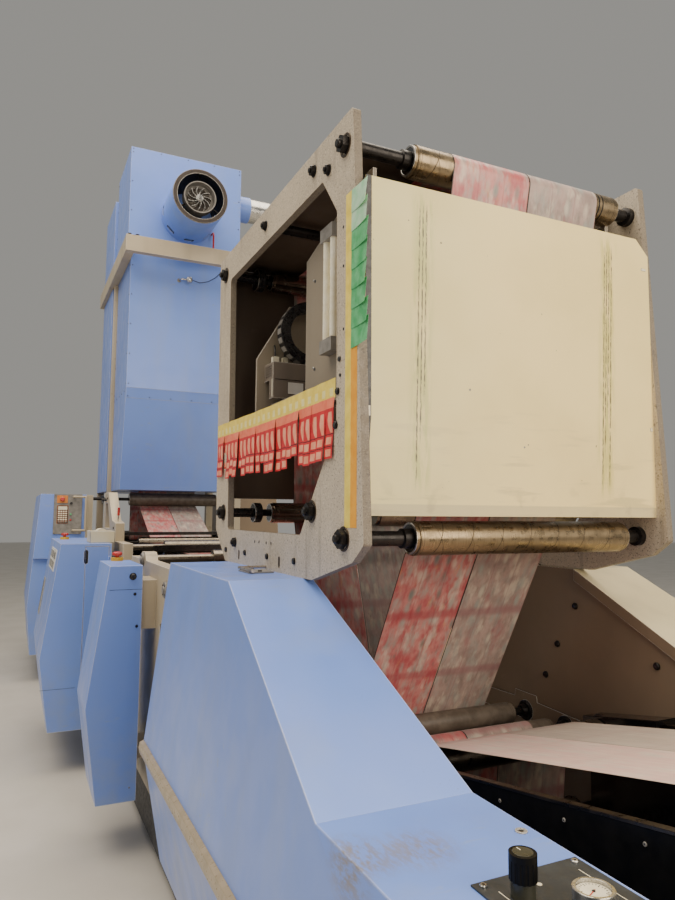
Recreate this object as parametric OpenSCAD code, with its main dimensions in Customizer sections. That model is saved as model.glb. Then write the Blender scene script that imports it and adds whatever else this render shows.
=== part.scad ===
// Web offset press line with narrow paper web.
// X runs across the press to the drive side, Y up the line, Z up from the floor.
// The front unit is at the low Y end: two side cabinets with a tall upper frame.
// Two print units, a dryer tower on posts and a rear unit follow it.

/* [Line] */
// Length of the front unit's cabinets
front_len = 2550; // [2450:10:2700]
// Walkway between the front unit and print unit one
aisle_one = 600; // [550:10:700]
// Length of print unit one
unit_one_len = 1100; // [1000:10:1250]
// Space between the two print units
aisle_two = 300; // [260:10:400]
// Length of print unit two
unit_two_len = 1350; // [1300:10:1450]
// Space between print unit two and the rear unit
tower_aisle = 1500; // [1400:10:1600]
// Length of the rear unit
rear_len = 1600; // [1550:10:1700]

/* [Base] */
// Height of the cabinet bottoms over the floor
cover_z = 290; // [260:5:320]
// Width of each base beam
beam_w = 220; // [180:5:240]
// Distance from the line's centre to the outer side of each base beam
beam_out_x = 860; // [840:5:880]
// Height of the levelling feet under the beams
foot_h = 60; // [40:5:80]
// Radius of a foot disc
foot_r = 70; // [50:5:90]

/* [Front unit] */
// Height of the cabinet tops, where the upper frame stands
cab_top_z = 1559; // [1500:1:1620]
// Height of the console top at the front end
console_z = 1137; // [1050:1:1180]
// Height of the widest line of the cabinet sides
kink_z = 774; // [700:1:850]
// Length of the flat cabinet top
cab_top_len = 916; // [880:1:1000]
// Length of the slope from the cabinet top to the console
slope_len = 853; // [780:1:900]
// X of the operator cabinet's inner wall
cab_inner_x = -645; // [-655:1:-630]
// Width of the flat cabinet top
cab_top_w = 301; // [285:1:325]
// How far the console's lid reaches past the inner wall
lid_flare = 48; // [20:1:60]
// Thickness of the lid's edge
lid_t = 26; // [16:1:40]
// How far the kink line stands out beyond the cabinet top
kink_out = 96; // [70:1:120]
// How far the foot line stands out beyond the cabinet top
foot_out = 9; // [0:1:40]
// X of the drive cabinet's inner wall
drive_inner_x = 560; // [550:1:600]
// Height of the bumper strip on the kink line
bumper_h = 62; // [40:1:80]
// How far the bumper strip stands proud of the side
bumper_t = 14; // [8:1:20]

/* [Upper frame] */
// Thickness of each frame plate
plate_t = 28; // [20:1:32]
// Height of the frame plates
plate_h = 1512; // [1450:1:1560]
// Length of a frame plate along its top
plate_top_len = 1534; // [1500:1:1570]
// How far a plate's near edge leans out from its top to its widest
plate_lean = 82; // [60:1:100]
// How far the plates reach past the cabinets' far end
plate_overhang = 248; // [200:1:280]
// Width of the plate rim round the window at the top and bottom
rim_h = 147; // [130:1:160]
// Width of the plate rim round the window at the sides
rim_w = 190; // [170:1:205]
// Thickness of the front sheet
sheet_t = 3; // [2:0.5:5]
// Depth of the folds along the front sheet's edges
sheet_fold = 24; // [15:1:30]

/* [Rollers] */
// Radius of the two front rollers of the upper frame
front_roller_r = 55.5; // [50:0.5:60]
// Radius of the other guide rollers
guide_r = 50; // [44:0.5:54]
// Radius of the two draw rollers below the upper frame
draw_r = 45; // [40:0.5:50]
// Length of the roller bodies
roller_len = 913; // [860:1:940]
// X of the middle of the roller bodies
roller_x = 10; // [0:1:20]
// Radius of the fixed roller shafts
shaft_r = 17; // [14:0.5:20]
// Distance from a shaft's end nut to the frame plate's face
nut_t = 22; // [16:1:28]

/* [Paper web] */
// Width of one of the two strips
strip_w = 321; // [300:1:330]
// Gap between the two strips
strip_gap = 6; // [4:1:12]
// X of the middle of the gap
web_x = 26; // [16:1:36]
// Thickness of the strips
web_t = 1; // [0.8:0.1:1.5]
// Clearance between the strips and the rollers
web_gap = 0.4; // [0.3:0.1:0.6]

/* [Print units] */
// Height of unit one's side frames
unit_one_z = 1500; // [1480:1:1540]
// Height of unit two's side frames
unit_two_z = 1560; // [1540:1:1600]
// Thickness of the side frames
frame_t = 70; // [50:1:80]
// Distance from the line's centre to the outer face of the side frames
frame_out_x = 870; // [850:1:880]
// Radius of the printing cylinders
cylinder_r = 110; // [100:1:120]
// Height of the underside of the web in the print units
web_z = 1450; // [1440:1:1460]
// Width of the narrow shield's top
shield_w = 170; // [150:1:190]
// Depth of the narrow shield along the line
shield_len = 460; // [420:1:500]
// Distance between the narrow shield and its side frame
shield_gap = 80; // [60:1:100]

/* [Cabinet of unit two] */
// Distance between the cabinet and its side frame
cab_two_gap = 71; // [60:1:80]
// Width of the cabinet's top
cab_two_w = 340; // [320:1:360]
// How far the cabinet's kink line stands out beyond its top
cab_two_kink = 108; // [80:1:120]
// Length of the cabinet along the line
cab_two_len = 1250; // [1200:10:1300]
// Width of the door
door_w = 156; // [140:1:170]
// Height of the door's lower edge
door_z0 = 590; // [560:1:640]
// Thickness of the door leaf
door_t = 20; // [16:1:26]
// Depth of the room behind the door
room_depth = 320; // [260:10:400]

/* [Dryer tower] */
// Width of the tower's head
head_w = 1245; // [1200:5:1280]
// Depth of the tower's head along the line
head_len = 940; // [900:5:980]
// Height of the tower's top
tower_top_z = 5780; // [5600:10:5900]
// Height of the underside of the tower's head
head_z = 4670; // [4600:10:4750]
// Width of the tower's shaft below the head
stack_w = 1180; // [1150:1:1190]
// Height of the fold between the shaft and the sloped lower hood
fold_z = 3112; // [3000:1:3250]
// Height of the lower end of the hood
hood_z = 2030; // [2020:1:2100]
// How far the hood's near side slopes back
hood_back = 250; // [200:5:280]
// Depth of the second column
column_len = 850; // [820:5:855]
// Gap between the shaft and the second column
column_gap = 165; // [140:5:170]
// Height of the ring beam round the tower
ring_h = 170; // [150:1:190]
// Width of the ring beams
ring_w = 60; // [50:1:70]
// How far the ring reaches out before the shaft
ring_reach = 290; // [270:5:320]
// Side of the square tower posts
post_w = 80; // [70:1:82]
// Radius of the turn roller under the shaft
tower_roller_r = 71; // [65:0.5:75]
// Length of the turn roller
tower_roller_len = 990; // [950:5:1020]
// Radius of the duct collar on the head's drive side
duct_r = 150; // [130:1:160]
// Length of the duct collar and its stub
duct_len = 450; // [380:5:500]

/* [Blower] */
// Outer radius of the blower casing
blower_r = 291; // [280:1:300]
// Length of the blower casing
blower_len = 610; // [580:5:640]
// Height of the blower casing over the ring beams
blower_rise = 119; // [100:1:140]
// Wall of the blower casing
blower_wall = 10; // [8:1:14]
// Width of the lip round the blower's inlet
lip_w = 46; // [30:1:60]
// Number of oval air slots round the casing
slot_count = 8; // [6:1:10]
// Radius of the cup round the fan wheel
cup_r = 170; // [160:1:185]
// Radius of the fan wheel
fan_r = 128; // [120:1:134]
// Number of blades on the fan wheel
blade_count = 11; // [9:1:13]

/* [Rear unit] */
// Height of the rear unit's console
rear_z = 1975; // [1940:1:2000]
// Height of the fold below the console
rear_fold_z = 1290; // [1250:1:1350]
// Width of the rear unit's cabinet top
rear_w = 460; // [430:1:480]

/* [Controls] */
// Width of the dark control plate on the console
panel_w = 240; // [220:1:250]
// Length of the control plate
panel_len = 380; // [340:1:410]
// Radius of the pressure regulator's knob
knob_r = 24; // [20:1:28]
// Radius of the pressure gauge
gauge_r = 35; // [30:1:40]
// Radius of the red stop buttons
stop_r = 28.5; // [26:0.5:31]

/* [Fits] */
// Clearance round shafts and between seated pieces
fit = 0.3; // [0.2:0.05:0.5]
// Clearance between moving pieces and their neighbours
clear = 5; // [5:0.5:8]

/* [Hidden] */
$fn = 64;

// Places along the line
line_len = front_len + aisle_one + unit_one_len + aisle_two + unit_two_len
    + tower_aisle + rear_len;
front_y0 = -line_len / 2;
front_y1 = front_y0 + front_len;
one_y0 = front_y1 + aisle_one;
one_y1 = one_y0 + unit_one_len;
two_y0 = one_y1 + aisle_two;
two_y1 = two_y0 + unit_two_len;
rear_y0 = two_y1 + tower_aisle;
rear_y1 = line_len / 2;

// Base
beam_in_x = beam_out_x - beam_w;
cross_w = 160;
cross_drop = 30;

// Front cabinets
slope_y1 = front_y1 - cab_top_len;
slope_y0 = slope_y1 - slope_len;

// Upper frame, measured from the plates' far lower corner
plate_len = plate_top_len + plate_lean;
plate_y1 = front_y1 + plate_overhang;
left_plate_x = cab_inner_x - plate_t - 6;
right_plate_x = drive_inner_x + 10;
left_inner_x = left_plate_x + plate_t;
sheet_y = plate_y1 - plate_len + 46;
sheet_z0 = cab_top_z + 217;
sheet_z1 = cab_top_z + plate_h - 236;

// How far the web dips past the printing cylinders, so that it wraps them
web_dip = 10;

// Roller places, each [y, z]
top_at = [plate_y1 - plate_top_len + 53, cab_top_z + plate_h - 104];
lower_at = [plate_y1 - plate_len + 132, cab_top_z + 146];
rear_top_at = [plate_y1 - 108, cab_top_z + plate_h - 101];
rear_low_at = [plate_y1 - 148, cab_top_z + 226];
turn_at = [plate_y1 - plate_top_len + rim_w + 112, cab_top_z + 230];
draw_at = [slope_y1 + 326, cab_top_z - 659];
wrap_at = [draw_at.x - 250, draw_at.y - 5];
dip_at = [wrap_at.x - 140, wrap_at.y - 265];
bed_at = [dip_at.x - 140, dip_at.y + 330];
end_at = [front_y0 + 100, bed_at.y + 280];
low_at = [plate_y1 - 368, cab_top_z - 799];
crest_at = [one_y0 - 150, web_z - guide_r - web_dip];
cylinder_one_at = [one_y0 + 550, web_z - cylinder_r];
cylinder_two_at = [two_y0 + 675, web_z - cylinder_r];
tower_y0 = rear_y0 - 500;
tower_turn_at = [tower_y0 + 567, hood_z - tower_roller_r - 26];
tower_guide_at = [tower_y0 - 390, web_z + guide_r - web_dip];
column_y0 = tower_y0 + head_len + column_gap;
cylinder_rear_at = [rear_y1 - 330, web_z - cylinder_r];
riser_at = [column_y0 + 180, web_z + guide_r];
infeed_at = [rear_y1 - 120, web_z - guide_r];

tray_wall = 20;
tray_z0 = cover_z - cross_drop;

roller_x0 = roller_x - roller_len / 2;
roller_x1 = roller_x + roller_len / 2;
web_x0 = web_x - strip_gap / 2 - strip_w;

// The web's routes: each stop is [y, z, radius]. With the line's far end on the right,
// a radius above zero turns the web clockwise, and one below zero anticlockwise
route_down = [
    [tower_turn_at.x + tower_roller_r + web_gap + web_t / 2, hood_z, 0],
    [tower_turn_at.x, tower_turn_at.y, tower_roller_r],
    [tower_guide_at.x, tower_guide_at.y, guide_r],
    [cylinder_two_at.x, cylinder_two_at.y, -cylinder_r],
    [cylinder_one_at.x, cylinder_one_at.y, -cylinder_r],
    [crest_at.x, crest_at.y, -guide_r],
    [low_at.x, low_at.y, guide_r],
    [rear_low_at.x, rear_low_at.y, -guide_r],
    [rear_top_at.x, rear_top_at.y, -guide_r],
    [top_at.x, top_at.y, -front_roller_r],
    [turn_at.x, turn_at.y, -guide_r],
    [draw_at.x, draw_at.y, draw_r],
    [wrap_at.x, wrap_at.y, -draw_r],
    [dip_at.x, dip_at.y, guide_r],
    [bed_at.x, bed_at.y, -guide_r],
    [end_at.x, end_at.y, -guide_r],
    [end_at.x - guide_r - web_gap - web_t / 2, tray_z0 + tray_wall, 0]];
route_up = [
    [rear_y1 - 10, web_z - web_dip, 0],
    [infeed_at.x, infeed_at.y, -guide_r],
    [cylinder_rear_at.x, cylinder_rear_at.y, -cylinder_r],
    [riser_at.x, riser_at.y, guide_r],
    [riser_at.x - guide_r - web_gap - web_t / 2, hood_z, 0]];

// Signed distance from a stop's centre to the middle of the web
function web_r(s) = s.z == 0 ? 0 : sign(s.z) * (abs(s.z) + web_gap + web_t / 2);

// Heading of the straight run between two stops
function heading(p, q) =
    let (v = [q.x - p.x, q.y - p.y])
    atan2(v.y, v.x) - asin((web_r(p) - web_r(q)) / norm(v));

// The first angle made to lie within half a turn of the second
function near_angle(a, b) = a - 360 * round((a - b) / 360);

function side_of(a) = [-sin(a), cos(a)];
function spot(s) = [s.x, s.y];

// Shapes drawn in the Y-Z or X-Z plane and extruded across it
module across(x0, x1) {
    translate([x0, 0, 0]) rotate([90, 0, 90]) linear_extrude(x1 - x0) children();
}

module along(y0, y1) {
    translate([0, y1, 0]) rotate([90, 0, 0]) linear_extrude(y1 - y0) children();
}

module block(lo, hi) {
    translate(lo) cube(hi - lo);
}

module rod(x0, x1, at, r) {
    translate([x0, at.x, at.y]) rotate([0, 90, 0]) cylinder(h = x1 - x0, r = r);
}

// Corner points of a polygon rounded with radius r
function unit(v) = v / norm(v);
function corner(p, c, q, r, n = 4) =
    let (a = unit(p - c), b = unit(q - c), half = acos(a * b) / 2)
    let (m = c + unit(a + b) * r / sin(half))
    let (s = c + a * r / tan(half) - m, e = c + b * r / tan(half) - m)
    let (a0 = atan2(s.y, s.x), turn = near_angle(atan2(e.y, e.x), a0) - a0)
    [for (k = [0:n]) m + r * [cos(a0 + turn * k / n), sin(a0 + turn * k / n)]];
function rounded(pts, r) =
    let (n = len(pts))
    [for (i = [0:n - 1]) each corner(pts[(i + n - 1) % n], pts[i], pts[(i + 1) % n], r)];

// A roller body that turns on its fixed shaft
module roller(at, r, x0 = roller_x0, x1 = roller_x1) {
    end = 12;
    difference() {
        union() {
            rod(x0 + end, x1 - end, at, r);
            rod(x0, x1, at, r - 4);
        }
        rod(x0 - 1, x1 + 1, at, shaft_r + fit);
    }
}

// Base

beam_sides = [-beam_out_x, beam_in_x];

module base_beams() {
    color("dimgray")
    for (x = beam_sides)
        block([x, front_y0 + 60, foot_h], [x + beam_w, rear_y1 - 60, cover_z]);
}

cross_ys = [front_y0 + 200, bed_at.x - 120, front_y1 - 200, one_y0 + 470, two_y0 + 600,
    tower_y0 - 120, rear_y1 - 500];

module cross_beams() {
    color("dimgray")
    for (y = cross_ys)
        block([-beam_in_x, y, foot_h + cross_drop],
            [beam_in_x, y + cross_w, cover_z - cross_drop]);
}

foot_count = 8;

module levelling_feet() {
    pitch = (line_len - 400) / (foot_count - 1);
    color("gray")
    for (x = beam_sides, k = [0:foot_count - 1])
        translate([x + beam_w / 2, front_y0 + 200 + k * pitch, 0]) {
            cylinder(h = 18, r = foot_r);
            cylinder(h = foot_h, r = 20);
        }
}

// Front unit

// Cross-section of a cabinet on the operator side, from its inner wall outwards
function cabinet_section(inner, top_w, kink, foot, z_top, z_kink, z_foot) = [
    [inner, z_foot], [inner - top_w - foot, z_foot], [inner - top_w - kink, z_kink],
    [inner - top_w, z_top], [inner, z_top]];

front_profile = [
    [front_y0, cover_z], [front_y1, cover_z], [front_y1, cab_top_z],
    [slope_y1, cab_top_z], [slope_y0, console_z], [front_y0, console_z]];
front_section = cabinet_section(cab_inner_x, cab_top_w, kink_out, foot_out,
    cab_top_z, kink_z, cover_z);

module front_cabinet() {
    intersection() {
        across(kink_x - 1, 0) polygon(front_profile);
        along(front_y0, front_y1) polygon(front_section);
    }
}

// The lid over the slope and the console, whose inner edge flares out to the front
module cabinet_lid() {
    drop = lid_t;
    intersection() {
        across(cab_inner_x - 100, cab_inner_x + lid_flare)
            polygon([[front_y0, console_z - drop], [slope_y0, console_z - drop],
                [slope_y1, cab_top_z - drop], [slope_y1, cab_top_z],
                [slope_y0, console_z], [front_y0, console_z]]);
        linear_extrude(cab_top_z + 1)
            polygon([[cab_inner_x - 100, front_y0], [cab_inner_x + lid_flare, front_y0],
                [cab_inner_x + lid_flare, slope_y0], [cab_inner_x, slope_y1],
                [cab_inner_x - 100, slope_y1]]);
    }
}

module operator_cabinet() {
    color("cornflowerblue") {
        front_cabinet();
        cabinet_lid();
    }
}

// Puts a piece made for the operator cabinet on the drive side
module on_drive_side() {
    translate([drive_inner_x + cab_inner_x, 0, 0]) mirror([1, 0, 0]) children();
}

kink_x = cab_inner_x - cab_top_w - kink_out;

module bumper() {
    h = bumper_h / 2;
    lean_up = kink_out * h / (cab_top_z - kink_z);
    lean_down = (kink_out - foot_out) * h / (kink_z - cover_z);
    along(front_y0, front_y1)
        polygon([[kink_x, kink_z], [kink_x + lean_down, kink_z - h],
            [kink_x - bumper_t, kink_z - h + 8], [kink_x - bumper_t - 4, kink_z],
            [kink_x - bumper_t, kink_z + h - 8], [kink_x + lean_up, kink_z + h]]);
}

module cabinet_bumpers() {
    color("tan") {
        bumper();
        on_drive_side() bumper();
    }
}

// Tray under the last web run, with lugs that carry the end roller
tray_x0 = roller_x0 - 14 - tray_wall;
tray_x1 = roller_x1 + 14 + tray_wall;
tray_y1 = bed_at.x + 70;

module web_tray() {
    rise = (end_at.y - bed_at.y) / (bed_at.x - end_at.x);
    z_far = bed_at.y + 60;
    z_near = z_far + (bed_at.x - end_at.x) * rise - 70;
    lug_z = end_at.y + 40;
    color([0.08, 0.08, 0.09])
    difference() {
        across(tray_x0, tray_x1)
            polygon([[front_y0, tray_z0], [tray_y1, tray_z0], [tray_y1, bed_at.y + 40],
                [tray_y1 - 40, z_far], [bed_at.x - 80, z_far],
                [end_at.x + 60, z_near], [end_at.x + 40, lug_z], [end_at.x - 40, lug_z],
                [end_at.x - 60, z_near - 60], [front_y0, z_near - 80]]);
        block([tray_x0 + tray_wall, front_y0 + tray_wall, tray_z0 + tray_wall],
            [tray_x1 - tray_wall, tray_y1 + 1, lug_z + 1]);
        for (at = [bed_at, end_at])
            rod(tray_x0 - 1, tray_x1 + 1, at, shaft_r + fit);
    }
}

panel_x0 = cab_inner_x + lid_flare - panel_w - 12;
panel_y1 = front_y0 + 445;
panel_t = 4;

module control_panel() {
    color("darkslategray")
    block([panel_x0, panel_y1 - panel_len, console_z],
        [panel_x0 + panel_w, panel_y1, console_z + panel_t]);
}

knob_at = [panel_x0 + 58, panel_y1 - 70, console_z + panel_t];
gauge_at = [panel_x0 + 149, panel_y1 - 137, console_z + panel_t];

module regulator_knob() {
    flutes = 16;
    color("black")
    translate(knob_at + [0, 0, 28])
    difference() {
        cylinder(h = 44, r = knob_r);
        for (k = [0:flutes - 1])
            rotate([0, 0, 360 * k / flutes])
                translate([knob_r + 1.5, 0, -1]) cylinder(h = 34, r = 3, $fn = 16);
    }
}

module pressure_gauge() {
    color("silver") {
        translate(gauge_at) difference() {
            cylinder(h = 26, r = gauge_r);
            translate([0, 0, 20]) cylinder(h = 7, r = gauge_r - 5);
        }
        translate(knob_at) cylinder(h = 28 - fit, r = knob_r - 3);
    }
}

// Upper frame

function plate_outline() = [
    [0, plate_h], [plate_top_len, plate_h], [plate_len, 131], [plate_len - 75, 77],
    [plate_len - 382, 0], [194, 0], [20, 144]];
function window_outline() =
    let (far = rim_w, near = plate_top_len - rim_w, top = plate_h - rim_h)
    [[far, top], [near - 45, top], [near + 74, top - 152], [near + 80, rim_h + 360],
        [near - 217, rim_h], [far + 35, rim_h]];

// Turns plate points, counted back from the far lower corner, into line points
function on_plate(pts) = [for (p = pts) [plate_y1 - p.x, cab_top_z + p.y]];

// Upright slots through the plate's lower rim, counted back from its far edge
slot_backs = [410, 921];
slot_w = 20;
slot_h = 45;
slot_rise = 39;

// Corner points of a slot with round ends, w wide and h high
function oval(at, w, h) =
    rounded([at + [w, h] / 2, at + [-w, h] / 2, at + [-w, -h] / 2, at + [w, -h] / 2],
        min(w, h) / 2 - 0.1);

module frame_plate(x) {
    difference() {
        across(x, x + plate_t)
            polygon(rounded(on_plate(plate_outline()), 14));
        for (back = slot_backs)
            across(x - 1, x + plate_t + 1)
                polygon(oval([plate_y1 - back, cab_top_z + slot_rise], slot_w, slot_h));
        across(x - 1, x + plate_t + 1)
            polygon(rounded(on_plate(window_outline()), 22));
        for (at = [top_at, lower_at, rear_top_at, rear_low_at, turn_at])
            rod(x - 1, x + plate_t + 1, at, shaft_r + fit);
    }
}

module left_frame_plate() {
    color("silver") frame_plate(left_plate_x);
}

module right_frame_plate() {
    color("silver") frame_plate(right_plate_x);
}

stay_r = 22;
stays = [[top_at.x + 259, cab_top_z + plate_h - 72], [plate_y1 - 350, cab_top_z + 92],
    [plate_y1 - 700, cab_top_z + plate_h - 72]];

// Round stays between the plates, a flat rail over the web past unit two, and a bar that
// reaches over the web before unit two's cylinder
module frame_stays() {
    color("gray")
    for (at = stays)
        rod(left_inner_x, right_plate_x, at, stay_r);
    color("tan")
    block([-frame_out_x, tower_guide_at.x - 40, unit_two_z],
        [frame_out_x, tower_guide_at.x + 60, unit_two_z + 30]);
    color("tan")
    block([web_x0 - 252, cylinder_two_at.x - 125, web_z + 17],
        [frame_out_x - frame_t, cylinder_two_at.x - 85, web_z + 70]);
}

module front_sheet() {
    x0 = left_inner_x;
    x1 = right_plate_x;
    cut = 60;
    color("palegoldenrod") {
        along(sheet_y, sheet_y + sheet_t)
            polygon([[x0, sheet_z0], [x1, sheet_z0], [x1, sheet_z1 - cut],
                [x1 - cut, sheet_z1], [x0, sheet_z1]]);
        block([x0, sheet_y, sheet_z0], [x1, sheet_y + sheet_fold, sheet_z0 + sheet_t]);
        block([x0, sheet_y, sheet_z0],
            [x0 + sheet_t, sheet_y + sheet_fold, sheet_z1 - cut]);
        block([x1 - sheet_t, sheet_y, sheet_z0],
            [x1, sheet_y + sheet_fold, sheet_z1 - cut]);
    }
}

// A bent sheet between the plates that closes the frame's back and top
module frame_cover() {
    y1 = plate_y1 - 17;
    y0 = plate_y1 - plate_top_len + 136;
    z0 = rear_low_at.y + 70;
    z1 = cab_top_z + plate_h - 31;
    color("dimgray")
    across(left_inner_x, right_plate_x)
        polygon([[y1, z0], [y1, z1 + sheet_t], [y0, z1 + sheet_t], [y0, z1],
            [y1 - sheet_t, z1], [y1 - sheet_t, z0]]);
}

plate_rollers = [top_at, lower_at, rear_top_at, rear_low_at, turn_at];
cabinet_rollers = [draw_at, wrap_at, dip_at, low_at];

module roller_shafts() {
    color([0.12, 0.12, 0.13]) {
        for (at = plate_rollers) {
            rod(left_plate_x - nut_t, right_plate_x + plate_t + nut_t, at, shaft_r);
            for (x = [left_plate_x - nut_t, right_plate_x + plate_t])
                translate([x, at.x, at.y]) rotate([0, 90, 0])
                    cylinder(h = nut_t, r = shaft_r + 13, $fn = 6);
        }
        for (at = cabinet_rollers)
            rod(cab_inner_x, drive_inner_x, at, shaft_r);
        for (at = [bed_at, end_at])
            rod(tray_x0, tray_x1, at, shaft_r);
        for (at = [crest_at, tower_turn_at, tower_guide_at, riser_at, infeed_at])
            rod(frame_t - frame_out_x, frame_out_x - frame_t, at, shaft_r);
    }
}

module top_roller() {
    color("gainsboro") roller(top_at, front_roller_r);
}

module lower_roller() {
    color("gainsboro") roller(lower_at, front_roller_r);
}

module rear_top_roller() {
    color("gainsboro") roller(rear_top_at, guide_r);
}

module rear_low_roller() {
    color("gainsboro") roller(rear_low_at, guide_r);
}

module draw_roller() {
    color("dimgray") roller(draw_at, draw_r);
}

module wrap_roller() {
    color("dimgray") roller(wrap_at, draw_r);
}

// Guide rollers that the covers hide
module guide_rollers() {
    color("gainsboro")
    for (at = [turn_at, dip_at, bed_at, end_at, crest_at, low_at, tower_guide_at,
            riser_at, infeed_at])
        roller(at, guide_r);
}

// Inspection gear inside the upper frame: two hanger plates carry a beam, and arms on
// the beam carry an apron along which the head travels across the web
hanger_t = 14;
hanger_in = 84;
hanger_xs = [left_inner_x + hanger_in, right_plate_x - hanger_in - hanger_t];
hanger_y0 = top_at.x + 23;
hanger_y1 = hanger_y0 + 568;
hanger_z0 = cab_top_z + plate_h - 881;
hanger_z1 = hanger_z0 + 740;
inner_x0 = hanger_xs[0] + hanger_t;
inner_x1 = hanger_xs[1];
beam_y0 = hanger_y1 - 68;
beam_y1 = hanger_y1 - 8;
beam_z0 = hanger_z0 + 20;
beam_z1 = beam_z0 + 80;
apron_y0 = hanger_y1 + 517;
apron_t = 12;
head_low_z = hanger_z0 + 112;
head_mid_z = hanger_z0 + 200;
head_top_z = hanger_z0 + 279;
head_front_y = apron_y0 - 115;
chain_w = 60;
chain_t = 45;
chain_r = 150;
chain_top_z = head_top_z + 2 * chain_r;
chain_x = inner_x0 + 182;

module hanger_plate(x) {
    across(x, x + hanger_t)
        polygon([[hanger_y0, hanger_z0], [hanger_y1, hanger_z0],
            [hanger_y1, hanger_z1 - 137], [hanger_y1 - 265, hanger_z1 - 62],
            [hanger_y0 + 30, hanger_z1], [hanger_y0, hanger_z1]]);
}

module inspection_beam() {
    arm_w = 40;
    spacer = 30;
    apron_x0 = inner_x0 - 47;
    apron_x1 = inner_x1 + 47;
    slope = [160, 270];
    color("darkkhaki") {
        for (x = hanger_xs)
            hanger_plate(x);
        for (z = [hanger_z0 + 110, hanger_z1 - 230]) {
            block([left_inner_x, hanger_y0, z],
                [hanger_xs[0], hanger_y0 + spacer, z + 2 * spacer]);
            block([inner_x1 + hanger_t, hanger_y0, z],
                [right_plate_x, hanger_y0 + spacer, z + 2 * spacer]);
        }
        block([inner_x0, beam_y0, beam_z0], [inner_x1, beam_y1, beam_z1]);
        for (x = [inner_x0 + 30, inner_x1 - 30 - arm_w])
            block([x, beam_y1, beam_z0], [x + arm_w, apron_y0, beam_z1]);
        along(apron_y0, apron_y0 + apron_t)
            polygon([[apron_x0, beam_z0], [apron_x1, beam_z0],
                [apron_x1, chain_top_z - slope.y], [apron_x1 - slope.x, chain_top_z],
                [apron_x0 + slope.x, chain_top_z], [apron_x0, chain_top_z - slope.y]]);
        block([chain_x + 260, head_front_y, chain_top_z - chain_t - 8],
            [chain_x + 500, apron_y0, chain_top_z - chain_t]);
    }
}

// Scanning head: a box over a shallower one, both facing the front
module inspection_head() {
    x0 = inner_x0 - 7;
    color("darkgray") {
        block([x0, head_front_y, head_mid_z], [x0 + 260, apron_y0, head_top_z]);
        block([x0, head_front_y, head_low_z], [x0 + 260, head_front_y + 48, head_mid_z]);
    }
}

// Two upright tubes between end caps on the outer face of the left hanger plate
module inspection_lamp() {
    x1 = hanger_xs[0];
    y0 = hanger_y0 + 238;
    z0 = hanger_z0 + 170;
    z1 = hanger_z1 - 100;
    cap_h = 50;
    color("white") {
        for (z = [z0, z1 - cap_h])
            block([x1 - 40, y0, z], [x1, y0 + 104, z + cap_h]);
        block([x1 - 6, y0 + 6, z0 + cap_h], [x1, y0 + 98, z1 - cap_h]);
        for (y = [y0 + 22, y0 + 82])
            translate([x1 - 22, y, z0 + cap_h]) cylinder(h = z1 - z0 - 2 * cap_h, r = 13);
    }
}

// Cable chain: it lies on the head, turns up and back, and ends on the apron's shelf
module cable_chain() {
    color([0.1, 0.1, 0.1]) {
        translate([chain_x, head_front_y, head_top_z + chain_r]) rotate([-90, 0, 0])
            rotate([0, 0, 90]) rotate_extrude(angle = 180)
                translate([chain_r - chain_t, 0]) square([chain_t, chain_w]);
        block([chain_x, head_front_y, chain_top_z - chain_t],
            [chain_x + 480, head_front_y + chain_w, chain_top_z]);
        block([chain_x, head_front_y, head_top_z],
            [chain_x + 60, head_front_y + chain_w, head_top_z + chain_t]);
    }
}

// Paper web

module strips(x_gap = 0) {
    for (x = [web_x0, web_x0 + strip_w + strip_gap])
        translate([x, 0, 0]) children();
}

// Clearance between a straight run and the wraps at its ends
web_seam = 0.05;

module web_run(p, q) {
    a = heading(p, q);
    inset = web_seam * [cos(a), sin(a)];
    from = spot(p) + web_r(p) * side_of(a) + inset;
    to = spot(q) + web_r(q) * side_of(a) - inset;
    half = web_t / 2 * side_of(a);
    across(0, strip_w) polygon([from - half, to - half, to + half, from + half]);
}

module web_wrap(p, s, q) {
    a0 = heading(p, s);
    a1 = near_angle(heading(s, q), a0);
    lift = s.z > 0 ? 90 : -90;
    r_in = abs(web_r(s)) - web_t / 2;
    low = min(a0, a1) + lift;
    translate([0, s.x, s.y]) rotate([90, 0, 90]) rotate([0, 0, low])
        rotate_extrude(angle = abs(a1 - a0)) translate([r_in, 0]) square([web_t, strip_w]);
}

module route_runs(route) {
    for (i = [0:len(route) - 2])
        web_run(route[i], route[i + 1]);
}

module route_wraps(route) {
    for (i = [1:len(route) - 2])
        web_wrap(route[i - 1], route[i], route[i + 1]);
}

module web_runs() {
    color("pink")
    strips() {
        route_runs(route_down);
        route_runs(route_up);
    }
}

module web_wraps() {
    color("pink")
    strips() {
        route_wraps(route_down);
        route_wraps(route_up);
    }
}

// Print units

module side_frame_pair(pts) {
    for (x = [-frame_out_x, frame_out_x - frame_t])
        across(x, x + frame_t) polygon(pts);
}

// A cylinder below the web and the pressing roller above it, with their journals
press_r = 50;
press_rise = web_gap + web_t + fit + press_r;

module print_cylinder(at) {
    x1 = frame_out_x - frame_t;
    rod(roller_x0, roller_x1, at, cylinder_r);
    rod(-x1, x1, at, 40);
    over = at + [0, cylinder_r + press_rise];
    rod(roller_x0, roller_x1, over, press_r);
    rod(-x1, x1, over, 25);
}

module housing(y0, y1) {
    x1 = frame_out_x - frame_t;
    block([-x1, y0 + 60, cover_z], [x1, y1 - 60, web_z - 2 * cylinder_r - 20]);
}

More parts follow.
